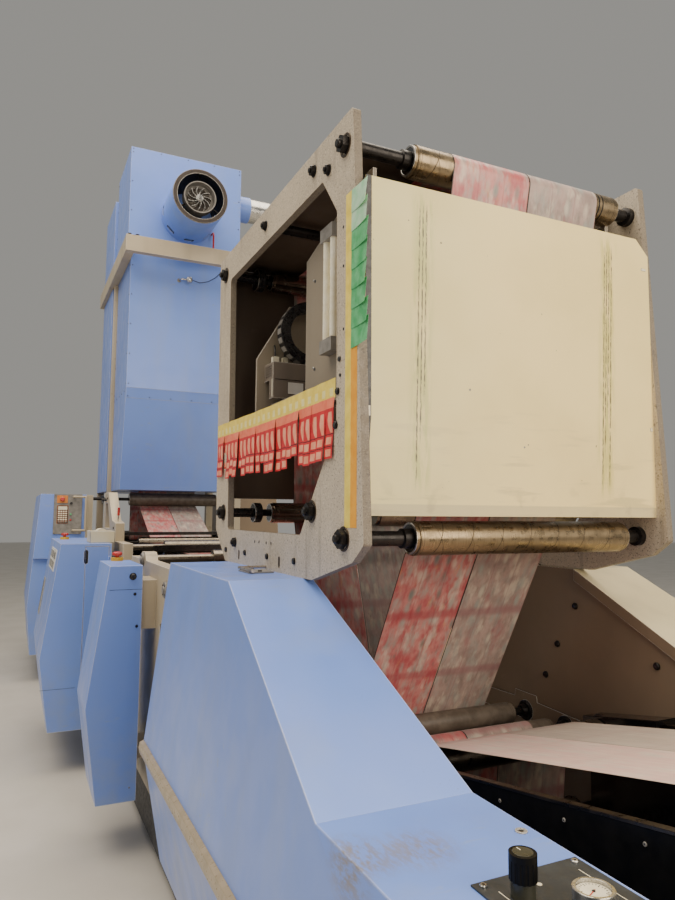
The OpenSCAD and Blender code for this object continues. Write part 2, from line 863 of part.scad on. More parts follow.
// Side frames of the three units, with arms that carry the rollers between them
module side_frames() {
    arm_z = tower_guide_at.y - 80;
    hump_y = cylinder_one_at.x;
    hump_z = web_z + press_rise + 45;
    color("tan") {
        side_frame_pair([[one_y0, cover_z], [one_y1, cover_z], [one_y1, unit_one_z - 120],
            [one_y1 - 120, unit_one_z], [hump_y + 100, unit_one_z], [hump_y + 50, hump_z],
            [hump_y - 50, hump_z], [hump_y - 100, unit_one_z], [one_y0 - 220, unit_one_z],
            [one_y0 - 220, web_z - 160], [one_y0, web_z - 260]]);
        side_frame_pair([[two_y0, cover_z], [two_y1, cover_z], [two_y1, arm_z - 100],
            [tower_guide_at.x + 80, arm_z], [tower_guide_at.x + 80, unit_two_z],
            [two_y0, unit_two_z]]);
        side_frame_pair([[rear_y0, cover_z], [rear_y1, cover_z], [rear_y1, web_z + 100],
            [tower_turn_at.x + 200, web_z + 100],
            [tower_turn_at.x + 90, tower_turn_at.y + 38],
            [rear_y0, tower_turn_at.y + 38]]);
    }
}

module unit_housings() {
    color("steelblue") {
        housing(one_y0, one_y1);
        housing(two_y0, two_y1);
        housing(rear_y0, rear_y1);
    }
}

module print_cylinders() {
    color("lightgray")
    for (at = [cylinder_one_at, cylinder_two_at, cylinder_rear_at])
        print_cylinder(at);
}

shield_out_x = frame_out_x + shield_gap;
shield_y0 = one_y0 + 80;
shield_section = cabinet_section(-shield_out_x, shield_w, 98, 31, unit_one_z, kink_z,
    cover_z);

module unit_one_shield() {
    color("cornflowerblue")
    along(shield_y0, shield_y0 + shield_len) polygon(shield_section);
}

cab_two_y0 = two_y0 + 50;
cab_two_y1 = cab_two_y0 + cab_two_len;
cab_two_x = -frame_out_x - cab_two_gap;
cab_two_section = cabinet_section(cab_two_x, cab_two_w, cab_two_kink, 38,
    unit_two_z, kink_z, cover_z);
door_x1 = cab_two_x - 19;
door_x0 = door_x1 - door_w;
door_z1 = unit_two_z - 20;
door_gap = 3;

// Two door hinges: fixed knuckles with a pin, and a knuckle that turns on it
hinge_r = 7;
hinge_pin_r = 3;
hinge_at = [door_x1 + door_gap / 2, cab_two_y0 - hinge_r];
hinge_zs = [door_z0 + 150, door_z1 - 150];
knuckle_h = 40;

module knuckle(z, h, x_flange) {
    translate([hinge_at.x, hinge_at.y, z]) cylinder(h = h, r = hinge_r);
    block([min(hinge_at.x, x_flange), hinge_at.y, z],
        [max(hinge_at.x, x_flange), cab_two_y0, z + h]);
}

// Oval recess for the fingers, across the door's free edge
module finger_pocket() {
    along(cab_two_y0 - 1, cab_two_y0 + door_t / 2)
        polygon(oval([door_x0 + 4, door_z1 - 72], 28, 98));
}

module unit_two_cabinet() {
    color("cornflowerblue")
    difference() {
        along(cab_two_y0, cab_two_y1) polygon(cab_two_section);
        finger_pocket();
        block([door_x0 - door_gap, cab_two_y0 - 1, door_z0 - door_gap],
            [door_x1 + door_gap, cab_two_y0 + door_t + door_gap, door_z1 + door_gap]);
        block([door_x0 + 15, cab_two_y0, door_z0 + 15],
            [door_x1 - 15, cab_two_y0 + room_depth, door_z1 - 15]);
    }
    color("cornflowerblue")
    for (z = hinge_zs) {
        knuckle(z - knuckle_h - 1, knuckle_h, door_x1 + 14);
        knuckle(z + knuckle_h + 1, knuckle_h, door_x1 + 14);
        translate([hinge_at.x, hinge_at.y, z - 2])
            cylinder(h = knuckle_h + 4, r = hinge_pin_r);
    }
}

// Brackets that hold the shield and unit two's cabinet off their side frames
module gap_bracket(gap, lo, hi) {
    block([-frame_out_x - gap, lo.x, lo.y], [-frame_out_x, hi.x, hi.y]);
}

module cabinet_brackets() {
    y0 = shield_y0 + 30;
    y1 = shield_y0 + 270;
    side = 120;
    color("tan") {
        gap_bracket(shield_gap, [y0, unit_one_z - 340], [y1, unit_one_z - 80]);
        gap_bracket(shield_gap, [y0, cover_z + 200], [y1, cover_z + 260]);
        for (y = [cab_two_y0 + 80, cab_two_y1 - 200],
                z = [cover_z + 200, unit_two_z - 260])
            gap_bracket(cab_two_gap, [y, z], [y + side, z + side]);
    }
}

module unit_two_door() {
    color("cornflowerblue")
    difference() {
        union() {
            block([door_x0, cab_two_y0, door_z0], [door_x1, cab_two_y0 + door_t, door_z1]);
            for (z = hinge_zs)
                knuckle(z, knuckle_h, door_x1 - 14);
        }
        for (z = hinge_zs)
            translate([hinge_at.x, hinge_at.y, z - 1])
                cylinder(h = knuckle_h + 2, r = hinge_pin_r + fit);
        finger_pocket();
    }
}

module unit_two_bracket() {
    y0 = two_y0 + 450;
    color("beige")
    difference() {
        across(-frame_out_x, -frame_out_x + frame_t)
            polygon([[y0, unit_two_z], [two_y1 - 100, unit_two_z],
                [two_y1 - 160, unit_two_z + 390], [two_y1 - 420, unit_two_z + 390],
                [y0 + 200, unit_two_z + 160], [y0, unit_two_z + 140]]);
        across(-frame_out_x - 1, -frame_out_x + frame_t + 1)
            polygon([[two_y1 - 560, unit_two_z + 90], [two_y1 - 220, unit_two_z + 90],
                [two_y1 - 240, unit_two_z + 300], [two_y1 - 400, unit_two_z + 300]]);
    }
}

// Lip along the slope of the drive side's front cabinet
slope_lip = 14;
slope_lip_h = 50;

module drive_covers() {
    color("wheat") {
        on_drive_side() front_cabinet();
        across(drive_inner_x - slope_lip, drive_inner_x)
            polygon([[slope_y0, console_z - slope_lip_h], [slope_y1, cab_top_z - slope_lip_h],
                [slope_y1, cab_top_z], [slope_y0, console_z]]);
        mirror([1, 0, 0]) {
            translate([cab_two_gap, 0, 0])
                along(cab_two_y0, cab_two_y1) polygon(cab_two_section);
            translate([shield_gap, 0, 0]) along(one_y0, one_y1) polygon(shield_section);
            along(rear_y0, rear_y1) polygon(rear_section);
        }
    }
}

// Stop buttons: a stem that slides in a yellow base, with a mushroom head
stop_one_at = [-shield_out_x - 80, shield_y0 + 415, unit_one_z];
stop_two_at = [cab_two_x - 259, cab_two_y0 + 900, unit_two_z];
stop_stem_r = 12;
stop_base_h = 20;
stop_travel = 6;

module stop_bases() {
    color("gold")
    for (at = [stop_one_at, stop_two_at])
        translate(at) difference() {
            cylinder(h = stop_base_h, r = stop_r + 6);
            translate([0, 0, -1]) cylinder(h = stop_base_h + 2, r = stop_stem_r + fit);
        }
}

module stop_button(at) {
    color("red")
    translate(at) {
        translate([0, 0, stop_travel + 2])
            cylinder(h = stop_base_h + clear, r = stop_stem_r);
        translate([0, 0, stop_base_h + stop_travel + clear])
            rotate_extrude()
                polygon([[0, 0], [stop_r - 3, 0], [stop_r, 4], [stop_r, 14],
                    [stop_r - 4, 19], [stop_r - 14, 22], [0, 23]]);
    }
}

module stop_button_one() {
    stop_button(stop_one_at);
}

module stop_button_two() {
    stop_button(stop_two_at);
}

// Dryer tower

head_x0 = web_x - head_w / 2;
head_x1 = web_x + head_w / 2;
stack_x0 = web_x - stack_w / 2;
stack_x1 = web_x + stack_w / 2;
ring_z0 = head_z - ring_h;
ring_x0 = head_x0 - ring_w;
ring_x1 = head_x1 + ring_w;
ring_gap = 2;
ring_y0 = tower_y0 - ring_reach;
column_y1 = column_y0 + column_len;
far_post_y0 = column_y1 + 5;
post_foot_z = web_z - 2 * cylinder_r - 20;

// Two posts between the shaft and the second column, and two behind the column that
// let the infeed roller's shaft through
module tower_posts() {
    between_y0 = tower_y0 + head_len + 20;
    color("tan")
    difference() {
        for (x = [stack_x0, stack_x1], y = [between_y0, far_post_y0])
            block([x - post_w / 2, y, post_foot_z], [x + post_w / 2, y + post_w, ring_z0]);
        rod(-frame_out_x, frame_out_x, infeed_at, shaft_r + fit);
    }
}

ring_y1 = far_post_y0 + post_w;

module ring_side_beams() {
    color("tan") {
        block([ring_x0, ring_y0 + post_w, ring_z0], [stack_x0 - ring_gap, ring_y1, head_z]);
        block([stack_x1 + ring_gap, ring_y0 + post_w, ring_z0], [ring_x1, ring_y1, head_z]);
    }
}

// The near cross beam closes the ring before the blower, the far one lies between the
// side beams
module ring_cross_beams() {
    color("tan") {
        block([ring_x0, ring_y0, ring_z0], [ring_x1, ring_y0 + post_w, head_z]);
        block([stack_x0 - ring_gap, far_post_y0, ring_z0],
            [stack_x1 + ring_gap, ring_y1, head_z]);
    }
}

module tower_head() {
    color("cornflowerblue")
    block([head_x0, tower_y0, head_z], [head_x1, tower_y0 + head_len, tower_top_z]);
}

module tower_shaft() {
    color("cornflowerblue")
    across(stack_x0, stack_x1)
        polygon([[tower_y0, head_z], [tower_y0, fold_z], [tower_y0 + hood_back, hood_z],
            [tower_y0 + head_len, hood_z], [tower_y0 + head_len, head_z]]);
}

// The second column is wide above the ring beams and below them
module tower_column() {
    x0 = head_x0 - 14;
    x1 = head_x1 + 14;
    z1 = tower_top_z - 170;
    color("cornflowerblue")
    along(column_y0, column_y1)
        polygon([[x0, hood_z], [x1, hood_z], [x1, ring_z0 - ring_gap],
            [stack_x1, ring_z0 - ring_gap], [stack_x1, head_z], [x1, head_z], [x1, z1],
            [x0, z1], [x0, head_z], [stack_x0, head_z], [stack_x0, ring_z0 - ring_gap],
            [x0, ring_z0 - ring_gap]]);
}

// Open stub of an air duct in its collar
module duct_stub() {
    at = [tower_y0 + 350, tower_top_z - 310];
    x1 = head_x1 + duct_len;
    collar_x1 = head_x1 + 196;
    color("silver")
    difference() {
        union() {
            rod(head_x1, collar_x1, at, duct_r);
            rod(collar_x1, x1, at, duct_r - 10);
        }
        rod(head_x1 + 20, x1 + 1, at, duct_r - 14);
    }
}

module tower_roller() {
    x0 = roller_x - 420;
    color("dimgray") roller(tower_turn_at, tower_roller_r, x0, x0 + tower_roller_len);
}

// Blower
blower_at = [web_x + 9, tower_y0, head_z + blower_r + blower_rise];
cup_z0 = blower_len - 120;
cup_z1 = blower_len - 20;
cup_wall = 10;
fan_z0 = cup_z0 + cup_wall + clear;
fan_z1 = cup_z1 - 20;
motor_shaft_r = 15;

// Puts a piece made along Z on the blower's axis, with its foot on the tower's head
module blower_place() {
    translate(blower_at) rotate([90, 0, 0]) children();
}

module blower_casing() {
    r_in = blower_r - blower_wall;
    slot_z = 100;
    color("cornflowerblue")
    blower_place()
    difference() {
        rotate_extrude()
            polygon([[r_in, 0], [blower_r, 0], [blower_r, blower_len - 4],
                [blower_r - 4, blower_len], [blower_r - lip_w, blower_len],
                [blower_r - lip_w, blower_len - blower_wall], [r_in, blower_len - 24]]);
        for (k = [0:slot_count - 1])
            rotate([0, 0, 360 * k / slot_count]) translate([r_in - 20, 0, slot_z])
                rotate([0, 90, 0]) linear_extrude(60) polygon(oval([0, 0], 60, 110));
    }
}

// The motor carries the cup in which the fan wheel turns
module blower_motor() {
    color("gray")
    blower_place() {
        cylinder(h = cup_z0 + 1, r = 120);
        difference() {
            translate([0, 0, cup_z0]) cylinder(h = cup_z1 - cup_z0, r = cup_r);
            translate([0, 0, cup_z0 + cup_wall])
                cylinder(h = cup_z1 - cup_z0, r = cup_r - cup_wall);
        }
        cylinder(h = fan_z1 + 6, r = motor_shaft_r);
    }
}

module fan_wheel() {
    hub_r = 34;
    color("silver")
    blower_place()
    difference() {
        union() {
            translate([0, 0, fan_z0]) cylinder(h = fan_z1 - fan_z0, r = hub_r);
            translate([0, 0, fan_z0]) cylinder(h = 6, r = fan_r);
            for (k = [0:blade_count - 1])
                rotate([0, 0, 360 * k / blade_count]) blade();
        }
        translate([0, 0, fan_z0 - 1])
            cylinder(h = fan_z1 - fan_z0 + 2, r = motor_shaft_r + fit);
    }
}

// One vane, a slice of a round shell that bows from the hub to the wheel's edge
module blade() {
    bow = fan_r * 0.75;
    sag = sqrt(bow * bow - fan_r * fan_r / 4);
    vane_t = 5;
    z = fan_z0 + 3;
    h = fan_z1 - z - 8;
    intersection() {
        translate([0, 0, z]) cylinder(h = h, r = fan_r - 2);
        translate([fan_r / 2, -sag, z - 1]) difference() {
            cylinder(h = h + 2, r = bow + vane_t / 2);
            translate([0, 0, -1]) cylinder(h = h + 4, r = bow - vane_t / 2);
        }
        translate([0, -vane_t, z - 1]) cube([fan_r, fan_r, h + 2]);
    }
}

// Rear unit
rear_kink = 86;
rear_section = cabinet_section(-frame_out_x, rear_w, rear_kink, 40, rear_z, kink_z,
    cover_z);
rear_step = 40;

module rear_console() {
    color("cornflowerblue")
    difference() {
        along(rear_y0, rear_y1) polygon(rear_section);
        block([-frame_out_x - rear_w - rear_kink - 1, rear_y0 - 1, cover_z - 1],
            [-frame_out_x + 1, rear_y0 + rear_step, rear_fold_z]);
    }
}

keypad_t = 12;

module rear_keypad() {
    color("darkgray")
    block([-frame_out_x - 328, rear_y0 - keypad_t, rear_z - 427],
        [-frame_out_x - 43, rear_y0, rear_z]);
}

// A bow handle that stands off the keypad plate and reaches to its inner side
module rear_handle() {
    r = 12;
    x0 = -frame_out_x - 130;
    x1 = -frame_out_x - 8;
    y = rear_y0 - 60;
    z0 = rear_z - 387;
    z1 = rear_z - 27;
    color("beige") {
        translate([x1, y, z0]) cylinder(h = z1 - z0, r = r);
        for (z = [z0, z1]) {
            rod(x0, x1, [y, z], r);
            translate([x0, rear_y0 - keypad_t, z]) rotate([90, 0, 0])
                cylinder(h = 60 - keypad_t, r = r);
            for (x = [x0, x1])
                translate([x, y, z]) sphere(r = r);
        }
    }
}

base_beams();
cross_beams();
levelling_feet();
operator_cabinet();
cabinet_bumpers();
drive_covers();
web_tray();
control_panel();
regulator_knob();
pressure_gauge();
left_frame_plate();
right_frame_plate();
frame_stays();
front_sheet();
frame_cover();
roller_shafts();
top_roller();
lower_roller();
rear_top_roller();
rear_low_roller();
draw_roller();
wrap_roller();
guide_rollers();
inspection_beam();
inspection_head();
inspection_lamp();
cable_chain();
web_runs();
web_wraps();
side_frames();
unit_housings();
print_cylinders();
unit_one_shield();
unit_two_cabinet();
unit_two_door();
unit_two_bracket();
cabinet_brackets();
stop_bases();
stop_button_one();
stop_button_two();
tower_posts();
ring_side_beams();
ring_cross_beams();
tower_head();
tower_shaft();
tower_column();
duct_stub();
tower_roller();
blower_casing();
blower_motor();
fan_wheel();
rear_console();
rear_keypad();
rear_handle();
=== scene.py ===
"""Looks of the web press line: paint, steel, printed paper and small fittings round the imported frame.

Lengths are metres. X runs across the press to the drive side, Y up the line, Z up from the floor.
"""

import random
from math import asin, atan2, copysign, cos, hypot, pi, radians, sin

import bmesh
import bpy
from mathutils import Matrix, Vector
from mathutils.bvhtree import BVHTree


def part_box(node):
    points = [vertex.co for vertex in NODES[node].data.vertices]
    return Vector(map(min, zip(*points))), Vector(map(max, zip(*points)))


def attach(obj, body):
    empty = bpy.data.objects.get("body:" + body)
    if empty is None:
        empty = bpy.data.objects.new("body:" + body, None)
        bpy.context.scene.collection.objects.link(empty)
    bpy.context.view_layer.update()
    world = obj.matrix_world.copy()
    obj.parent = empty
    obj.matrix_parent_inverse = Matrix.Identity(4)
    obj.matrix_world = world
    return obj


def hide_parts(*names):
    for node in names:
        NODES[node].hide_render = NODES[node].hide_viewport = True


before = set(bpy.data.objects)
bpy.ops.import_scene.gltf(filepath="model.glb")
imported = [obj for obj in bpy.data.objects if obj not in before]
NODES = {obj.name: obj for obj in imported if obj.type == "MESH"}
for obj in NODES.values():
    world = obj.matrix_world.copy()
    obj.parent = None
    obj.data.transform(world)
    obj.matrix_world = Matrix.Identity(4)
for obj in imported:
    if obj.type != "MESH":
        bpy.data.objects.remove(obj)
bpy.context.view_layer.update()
HOME = "press"
X, Y, Z = Vector((1, 0, 0)), Vector((0, 1, 0)), Vector((0, 0, 1))
random.seed(7)


# Colours and shaders


def paint(code):
    """Linear colour from a screen colour written as six hex digits."""
    parts = [int(code[i:i + 2], 16) / 255 for i in (0, 2, 4)]
    return [c / 12.92 if c < 0.04045 else ((c + 0.055) / 1.055) ** 2.4 for c in parts]


class Shader:
    """A principled material with short ways to add nodes, read in the body's own coordinates."""

    def __init__(self, name, color, rough, metal=0.0, coat=0.0):
        self.material = bpy.data.materials.new(name)
        self.material.use_nodes = True
        self.tree = self.material.node_tree
        self.bsdf = self.tree.nodes["Principled BSDF"]
        self.tone = color
        for key, value in (("Base Color", (*paint(color), 1)), ("Roughness", rough), ("Metallic", metal),
                           ("Coat Weight", coat), ("Coat Roughness", 0.2)):
            self.put(self.bsdf, key, value)
        self.place = self.node("ShaderNodeTexCoord").outputs["Object"]

    def put(self, node, key, value):
        socket = node.inputs[key]
        if isinstance(value, bpy.types.NodeSocket):
            self.tree.links.new(value, socket)
        else:
            socket.default_value = value

    def node(self, kind, settings=None, *values, **inputs):
        made = self.tree.nodes.new(kind)
        for key, value in (settings or {}).items():
            setattr(made, key, value)
        for key, value in enumerate(values):
            self.put(made, key, value)
        for key, value in inputs.items():
            self.put(made, key, value)
        return made

    def stretched(self, stretch, source=None, shift=0.0):
        made = self.node("ShaderNodeMapping", Vector=source or self.place, Scale=stretch)
        self.put(made, "Location", (shift, shift, 0))
        return made.outputs["Vector"]

    def noise(self, scale, detail=3.0, rough=0.5, stretch=(1, 1, 1), source=None):
        place = self.stretched(stretch, source)
        made = self.node("ShaderNodeTexNoise", Vector=place, Scale=scale, Detail=detail, Roughness=rough)
        return made.outputs["Fac"]

    def axis(self, name, source=None):
        return self.node("ShaderNodeSeparateXYZ", Vector=source or self.place).outputs[name]

    def ramp(self, value, low, high, to_low=0.0, to_high=1.0):
        made = self.node("ShaderNodeMapRange", {"interpolation_type": "SMOOTHSTEP"},
                         value, low, high, to_low, to_high)
        return made.outputs["Result"]

    def blots(self, scale, detail, low, high, amount=1.0, stretch=(1, 1, 1), rough=0.5, source=None):
        """Noise cut to soft blots: 0 below the low level, and the amount above the high one."""
        return self.ramp(self.noise(scale, detail, rough, stretch, source), low, high, 0.0, amount)

    def math(self, operation, a, b=0.0):
        return self.node("ShaderNodeMath", {"operation": operation}, a, b).outputs[0]

    def times(self, value, *others):
        for other in others:
            value = self.math("MULTIPLY", value, other)
        return value

    def mix(self, amount, a, b):
        made = self.node("ShaderNodeMix", {"data_type": "RGBA"}, amount)
        for place, value in ((6, a), (7, b)):
            self.put(made, place, (*paint(value), 1) if isinstance(value, str) else value)
        return made.outputs[2]

    def over(self, amount, color):
        """Lays a colour over the base colour so far."""
        self.tone = self.mix(amount, self.tone, color)
        self.put(self.bsdf, "Base Color", self.tone)

    def edges(self, radius, amount=1.0):
        """A mask of outer edges."""
        rounded = self.node("ShaderNodeBevel", {"samples": 4}, radius).outputs["Normal"]
        flat = self.node("ShaderNodeNewGeometry").outputs["Normal"]
        facing = self.node("ShaderNodeVectorMath", {"operation": "DOT_PRODUCT"}, rounded, flat)
        return self.ramp(facing.outputs["Value"], 0.985, 0.86, 0.0, amount)

    def bump(self, height, depth):
        made = self.node("ShaderNodeBump", Height=height, Distance=depth, Strength=1.0)
        self.put(self.bsdf, "Normal", made.outputs["Normal"])

    def gloss(self, scale, detail, low, high):
        """Uneven roughness, from low to high."""
        self.put(self.bsdf, "Roughness", self.ramp(self.noise(scale, detail), 0.3, 0.7, low, high))


def enamel(name, color, deep, dust, rough=0.36):
    """Stoved enamel: cloudy tone, vertical wipe marks, dust low down, small chips, and light edges that are
    partly edge wear and partly a painted highlight.
    """
    s = Shader(name, color, rough, coat=0.25)
    s.over(s.blots(1.3, 4, 0.35, 0.7, 0.6), deep)
    s.over(s.blots(5.0, 3, 0.45, 0.75, 0.3, (1, 1, 0.12)), dust)
    s.over(s.times(s.ramp(s.axis("Z"), 1.1, 0.1, 0.0, 0.6), s.blots(9.0, 5, 0.3, 0.7)), dust)
    s.over(s.times(s.blots(26.0, 5, 0.63, 0.7, 0.5, (0.35, 1, 1)), s.blots(2.2, 3, 0.5, 0.62)), dust)
    s.over(s.times(s.blots(160.0, 2, 0.72, 0.78, 0.6), s.blots(3.0, 3, 0.45, 0.65)), "5a5a5c")
    # Light line along the outer edges: partly edge wear, partly a painted highlight of the rounded edges.
    s.over(s.edges(0.006, 0.8), "f1eee6")
    s.gloss(7.0, 4, rough - 0.06, rough + 0.12)
    s.bump(s.noise(190.0, 2), 0.00022)
    return s


def rubbed(s, spots):
    """Adds brown-grey wear round spots (place, reach, strength) of an enamel."""
    for at, reach, strength in spots:
        away = s.node("ShaderNodeVectorMath", {"operation": "DISTANCE"}, s.place, at).outputs["Value"]
        marks = s.ramp(s.noise(70.0, 5, 0.7, stretch=(1, 0.35, 1)), 0.40, 0.62, 0.15, 1.0)
        s.over(s.times(s.ramp(away, reach, reach * 0.15), marks, strength), "847c6c")
    return s


def brushed(name, color, dark, rough=0.26, metal=1.0):
    """Ground steel with fine rings round the X axis and oily stains."""
    s = Shader(name, color, rough, metal=metal)
    rings = s.noise(900.0, 2, stretch=(1, 0.01, 0.01))
    s.over(s.ramp(rings, 0.3, 0.7, 0.0, 0.5), dark)
    s.over(s.blots(14.0, 5, 0.45, 0.75, 0.3, (1, 0.5, 0.5)), dark)
    s.gloss(30.0, 4, rough - 0.05, rough + 0.16)
    s.bump(rings, 0.0001)
    return s


def plain(name, color, other, rough=0.5, metal=0.0, coat=0.0, grain=300.0):
    """A small part's finish: two tones, fine grain and uneven gloss."""
    s = Shader(name, color, rough, metal, coat)
    s.over(s.blots(25.0, 4, 0.3, 0.7), other)
    s.gloss(60.0, 3, max(rough - 0.08, 0.05), rough + 0.1)
    s.bump(s.noise(grain, 2), 0.0001)
    return s


def speckled(name, color, deep):
    """Frame plate paint: matt, with fine light and dark specks, stains, chips and darker rims."""
    s = Shader(name, color, 0.55)
    s.over(s.blots(4.0, 4, 0.35, 0.7, 0.5), deep)
    side = s.axis("X", s.node("ShaderNodeNewGeometry").outputs["Normal"])
    rim = s.ramp(s.math("ABSOLUTE", side), 0.7, 0.4, 0.0, 0.8)
    s.over(rim, "645a4c")
    s.over(s.times(s.blots(210.0, 3, 0.52, 0.64, 0.6), s.math("SUBTRACT", 1.0, rim)), "ddd2c0")
    s.over(s.blots(150.0, 4, 0.57, 0.67, 0.7), "57504a")
    s.over(s.blots(24.0, 4, 0.56, 0.74, 0.45, (1, 1, 0.08)), "7c7265")
    s.over(s.times(s.blots(45.0, 4, 0.62, 0.68, 0.9), s.edges(0.007)), "2b2826")
    s.gloss(40.0, 3, 0.45, 0.7)
    s.bump(s.noise(500.0, 2), 0.0002)
    return s


def scored(s, x, lean, width, z_low, z_high, color, strength, dash=0.03):
    """Adds a dashed upright line to a finish. It leans by lean metres for each metre of height."""
    z = s.axis("Z")
    centre = s.math("ADD", s.times(z, lean), x)
    across = s.math("ABSOLUTE", s.math("SUBTRACT", s.axis("X"), centre))
    tall = s.times(s.ramp(z, z_low, z_low + 0.1), s.ramp(z, z_high, z_high - 0.06))
    dashes = s.blots(1 / dash, 4, 0.4, 0.56, strength, (8, 1, 1), 0.7)
    s.over(s.times(s.ramp(across, width, width * 0.3), tall, dashes), color)


def sheet_paint(name, z_low, z_high):
    """Cream sheet paint, greener on the left, with wiped arcs, a grey lower strip, painted shade below the
    bottom fold and two scored streaks.
    """
    s = Shader(name, "fbe5a2", 0.42, coat=0.15)
    z = s.axis("Z")
    s.over(s.ramp(s.axis("X"), 0.0, -0.65, 0.0, 0.6), "d8d29a")
    s.over(s.blots(3.5, 4, 0.35, 0.75, 0.35), "e0cb88")
    s.over(s.times(s.blots(30.0, 4, 0.56, 0.7, 0.4, (0.12, 1, 1)), s.ramp(z, z_low + 0.5, z_low)), "a99f7c")
    # Below the bottom fold line the cream is darker: painted shade of the bent lip.
    fold = z_low + 0.036
    s.over(s.ramp(z, fold + 0.002, fold - 0.002, 0.0, 0.55), "b5ab90")
    for x, lean, tint, offsets in ((-0.500, 0.021, "bcbf72", (-0.013, 0.0, 0.013)),
                                   (0.228, 0.049, "c3bd62", (-0.016, -0.005, 0.006, 0.018))):
        scored(s, x, lean, 0.055, z_low + 0.04, z_high, tint, 0.6, 0.25)
        for k, offset in enumerate(offsets):
            scored(s, x + offset, lean, 0.0042, z_low + 0.07 + 0.13 * (k % 3), z_high - 0.04, "2e2c24", 0.95)
    s.over(s.times(s.blots(11.0, 5, 0.56, 0.66, 0.3), s.ramp(z, z_high - 0.9, z_low)), "8e8468")
    s.over(s.blots(55.0, 2, 0.76, 0.79, 0.85), "3f3a30")
    s.gloss(6.0, 4, 0.34, 0.52)
    s.bump(s.noise(3.0, 2), 0.002)
    return s


def print_colours(name, ground, flat, patches, band):
    """A generic blurred print, streaked along the web. Its UV holds metres across and along."""
    s = Shader(name, ground[0], 0.4, coat=0.15)
    run = s.node("ShaderNodeUVMap").outputs["UV"]
    s.over(s.blots(16.0, 3, 0.3, 0.68, 1.0, (1.6, 0.7, 1), 0.6, run), ground[1])
    for k, (color, scale, low, high, amount) in enumerate(patches):
        moved = s.stretched((1, 1, 1), run, 3.7 * (k + 1))
        s.over(s.blots(scale, 3, low, high, amount, (1, 0.36, 1), 0.65, moved), color)
    place = s.stretched((1, 0.42, 1), run)
    cells = s.node("ShaderNodeTexVoronoi", Vector=place, Scale=30.0, Randomness=0.55).outputs
    pick = s.node("ShaderNodeSeparateColor", None, cells["Color"]).outputs
    for key, patch, least in zip(("Red", "Green", "Blue"), patches, (0.45, 0.62, 0.55)):
        chosen = s.ramp(pick[key], least, least + 0.08, 0.0, 0.75)
        s.over(s.times(s.ramp(cells["Distance"], 0.52, 0.08), chosen), patch[0])
    for key, period, wide, narrow, amount in (("Y", 0.152, 0.03, 0.006, 0.6),
                                              ("X", 0.0535, 0.004, 0.001, 0.35)):
        s.over(s.ramp(s.math("PINGPONG", s.axis(key, run), period), wide, narrow, 0.0, amount), band)
    # Dark line along each strip's left edge: painted shade in the seam between the two strips.
    s.over(s.ramp(s.axis("X", run), 0.004, 0.0028), "1c1413")
    bed = s.times(s.ramp(s.axis("Y"), -3.02, -3.12), s.ramp(s.axis("Z"), 1.45, 1.40), 0.66)
    s.over(bed, s.mix(s.blots(70.0, 3, 0.4, 0.62, 1.0, (1, 0.05, 1), 0.5, run), *flat))
    s.put(s.bsdf, "Sheen Weight", 0.1)
    s.bump(s.noise(60.0, 2, source=run), 0.0002)
    return s


def spiral_steel(name, centre, grooves_to=9.0):
    """Bare roller with crossing helical grooves round the X axis at the centre, up to an X."""
    s = brushed(name, "96866c", "6b5c47", metal=0.9)
    y = s.math("SUBTRACT", s.axis("Y"), centre.y)
    z = s.math("SUBTRACT", s.axis("Z"), centre.z)
    turn = s.math("DIVIDE", s.math("ARCTAN2", z, y), 2 * pi)
    lines = []
    for pitch, strength in ((0.12, 0.9), (-0.12, 0.45)):
        wave = s.math("FRACT", s.math("ADD", s.math("DIVIDE", s.axis("X"), pitch), turn))
        lines.append(s.ramp(s.math("ABSOLUTE", s.math("SUBTRACT", wave, 0.5)), 0.014, 0.007, 0.0, strength))
    grooves = s.times(s.math("MAXIMUM", *lines), s.ramp(s.axis("X"), grooves_to + 0.004, grooves_to))
    s.over(s.times(grooves, 0.85), "2f2822")
    s.bump(grooves, -0.0006)
    return s


BLUE = enamel("blue_paint", "7698ea", "688ade", "8d9ec6")
CREAM = enamel("cream_paint", "dccfa8", "cbbd94", "a39a7c", 0.45)
BEIGE = enamel("beige_paint", "bdb097", "a99c83", "857a66", 0.48)
RAIL = plain("bumper_beige", "a0927c", "93866f", 0.34, coat=0.3, grain=120.0)
WHITE = enamel("white_paint", "e4e3de", "d6d4cd", "a9a69e")
# The inspection beam's grey-brown paint is darkened here as painted shade, as the beam hangs in the frame's
# shadow.
GEAR = enamel("gear_paint", "938876", "807565", "5f564b", 0.5)
HEAD = enamel("scanner_paint", "7a7066", "6b625a", "564e47", 0.45)
LIP = enamel("brown_lip", "2b211a", "372a21", "4f4136", 0.5)
# Dark brown for the frame cover: painted shade of the dark space behind the rollers.
SHADE = enamel("cover_painted_shade", "54463a", "43372d", "665648", 0.55)
PLATE = speckled("plate_grey", "c2b5a0", "a69a88")
GREY = plain("machine_grey", "8d8a86", "777470", 0.45)
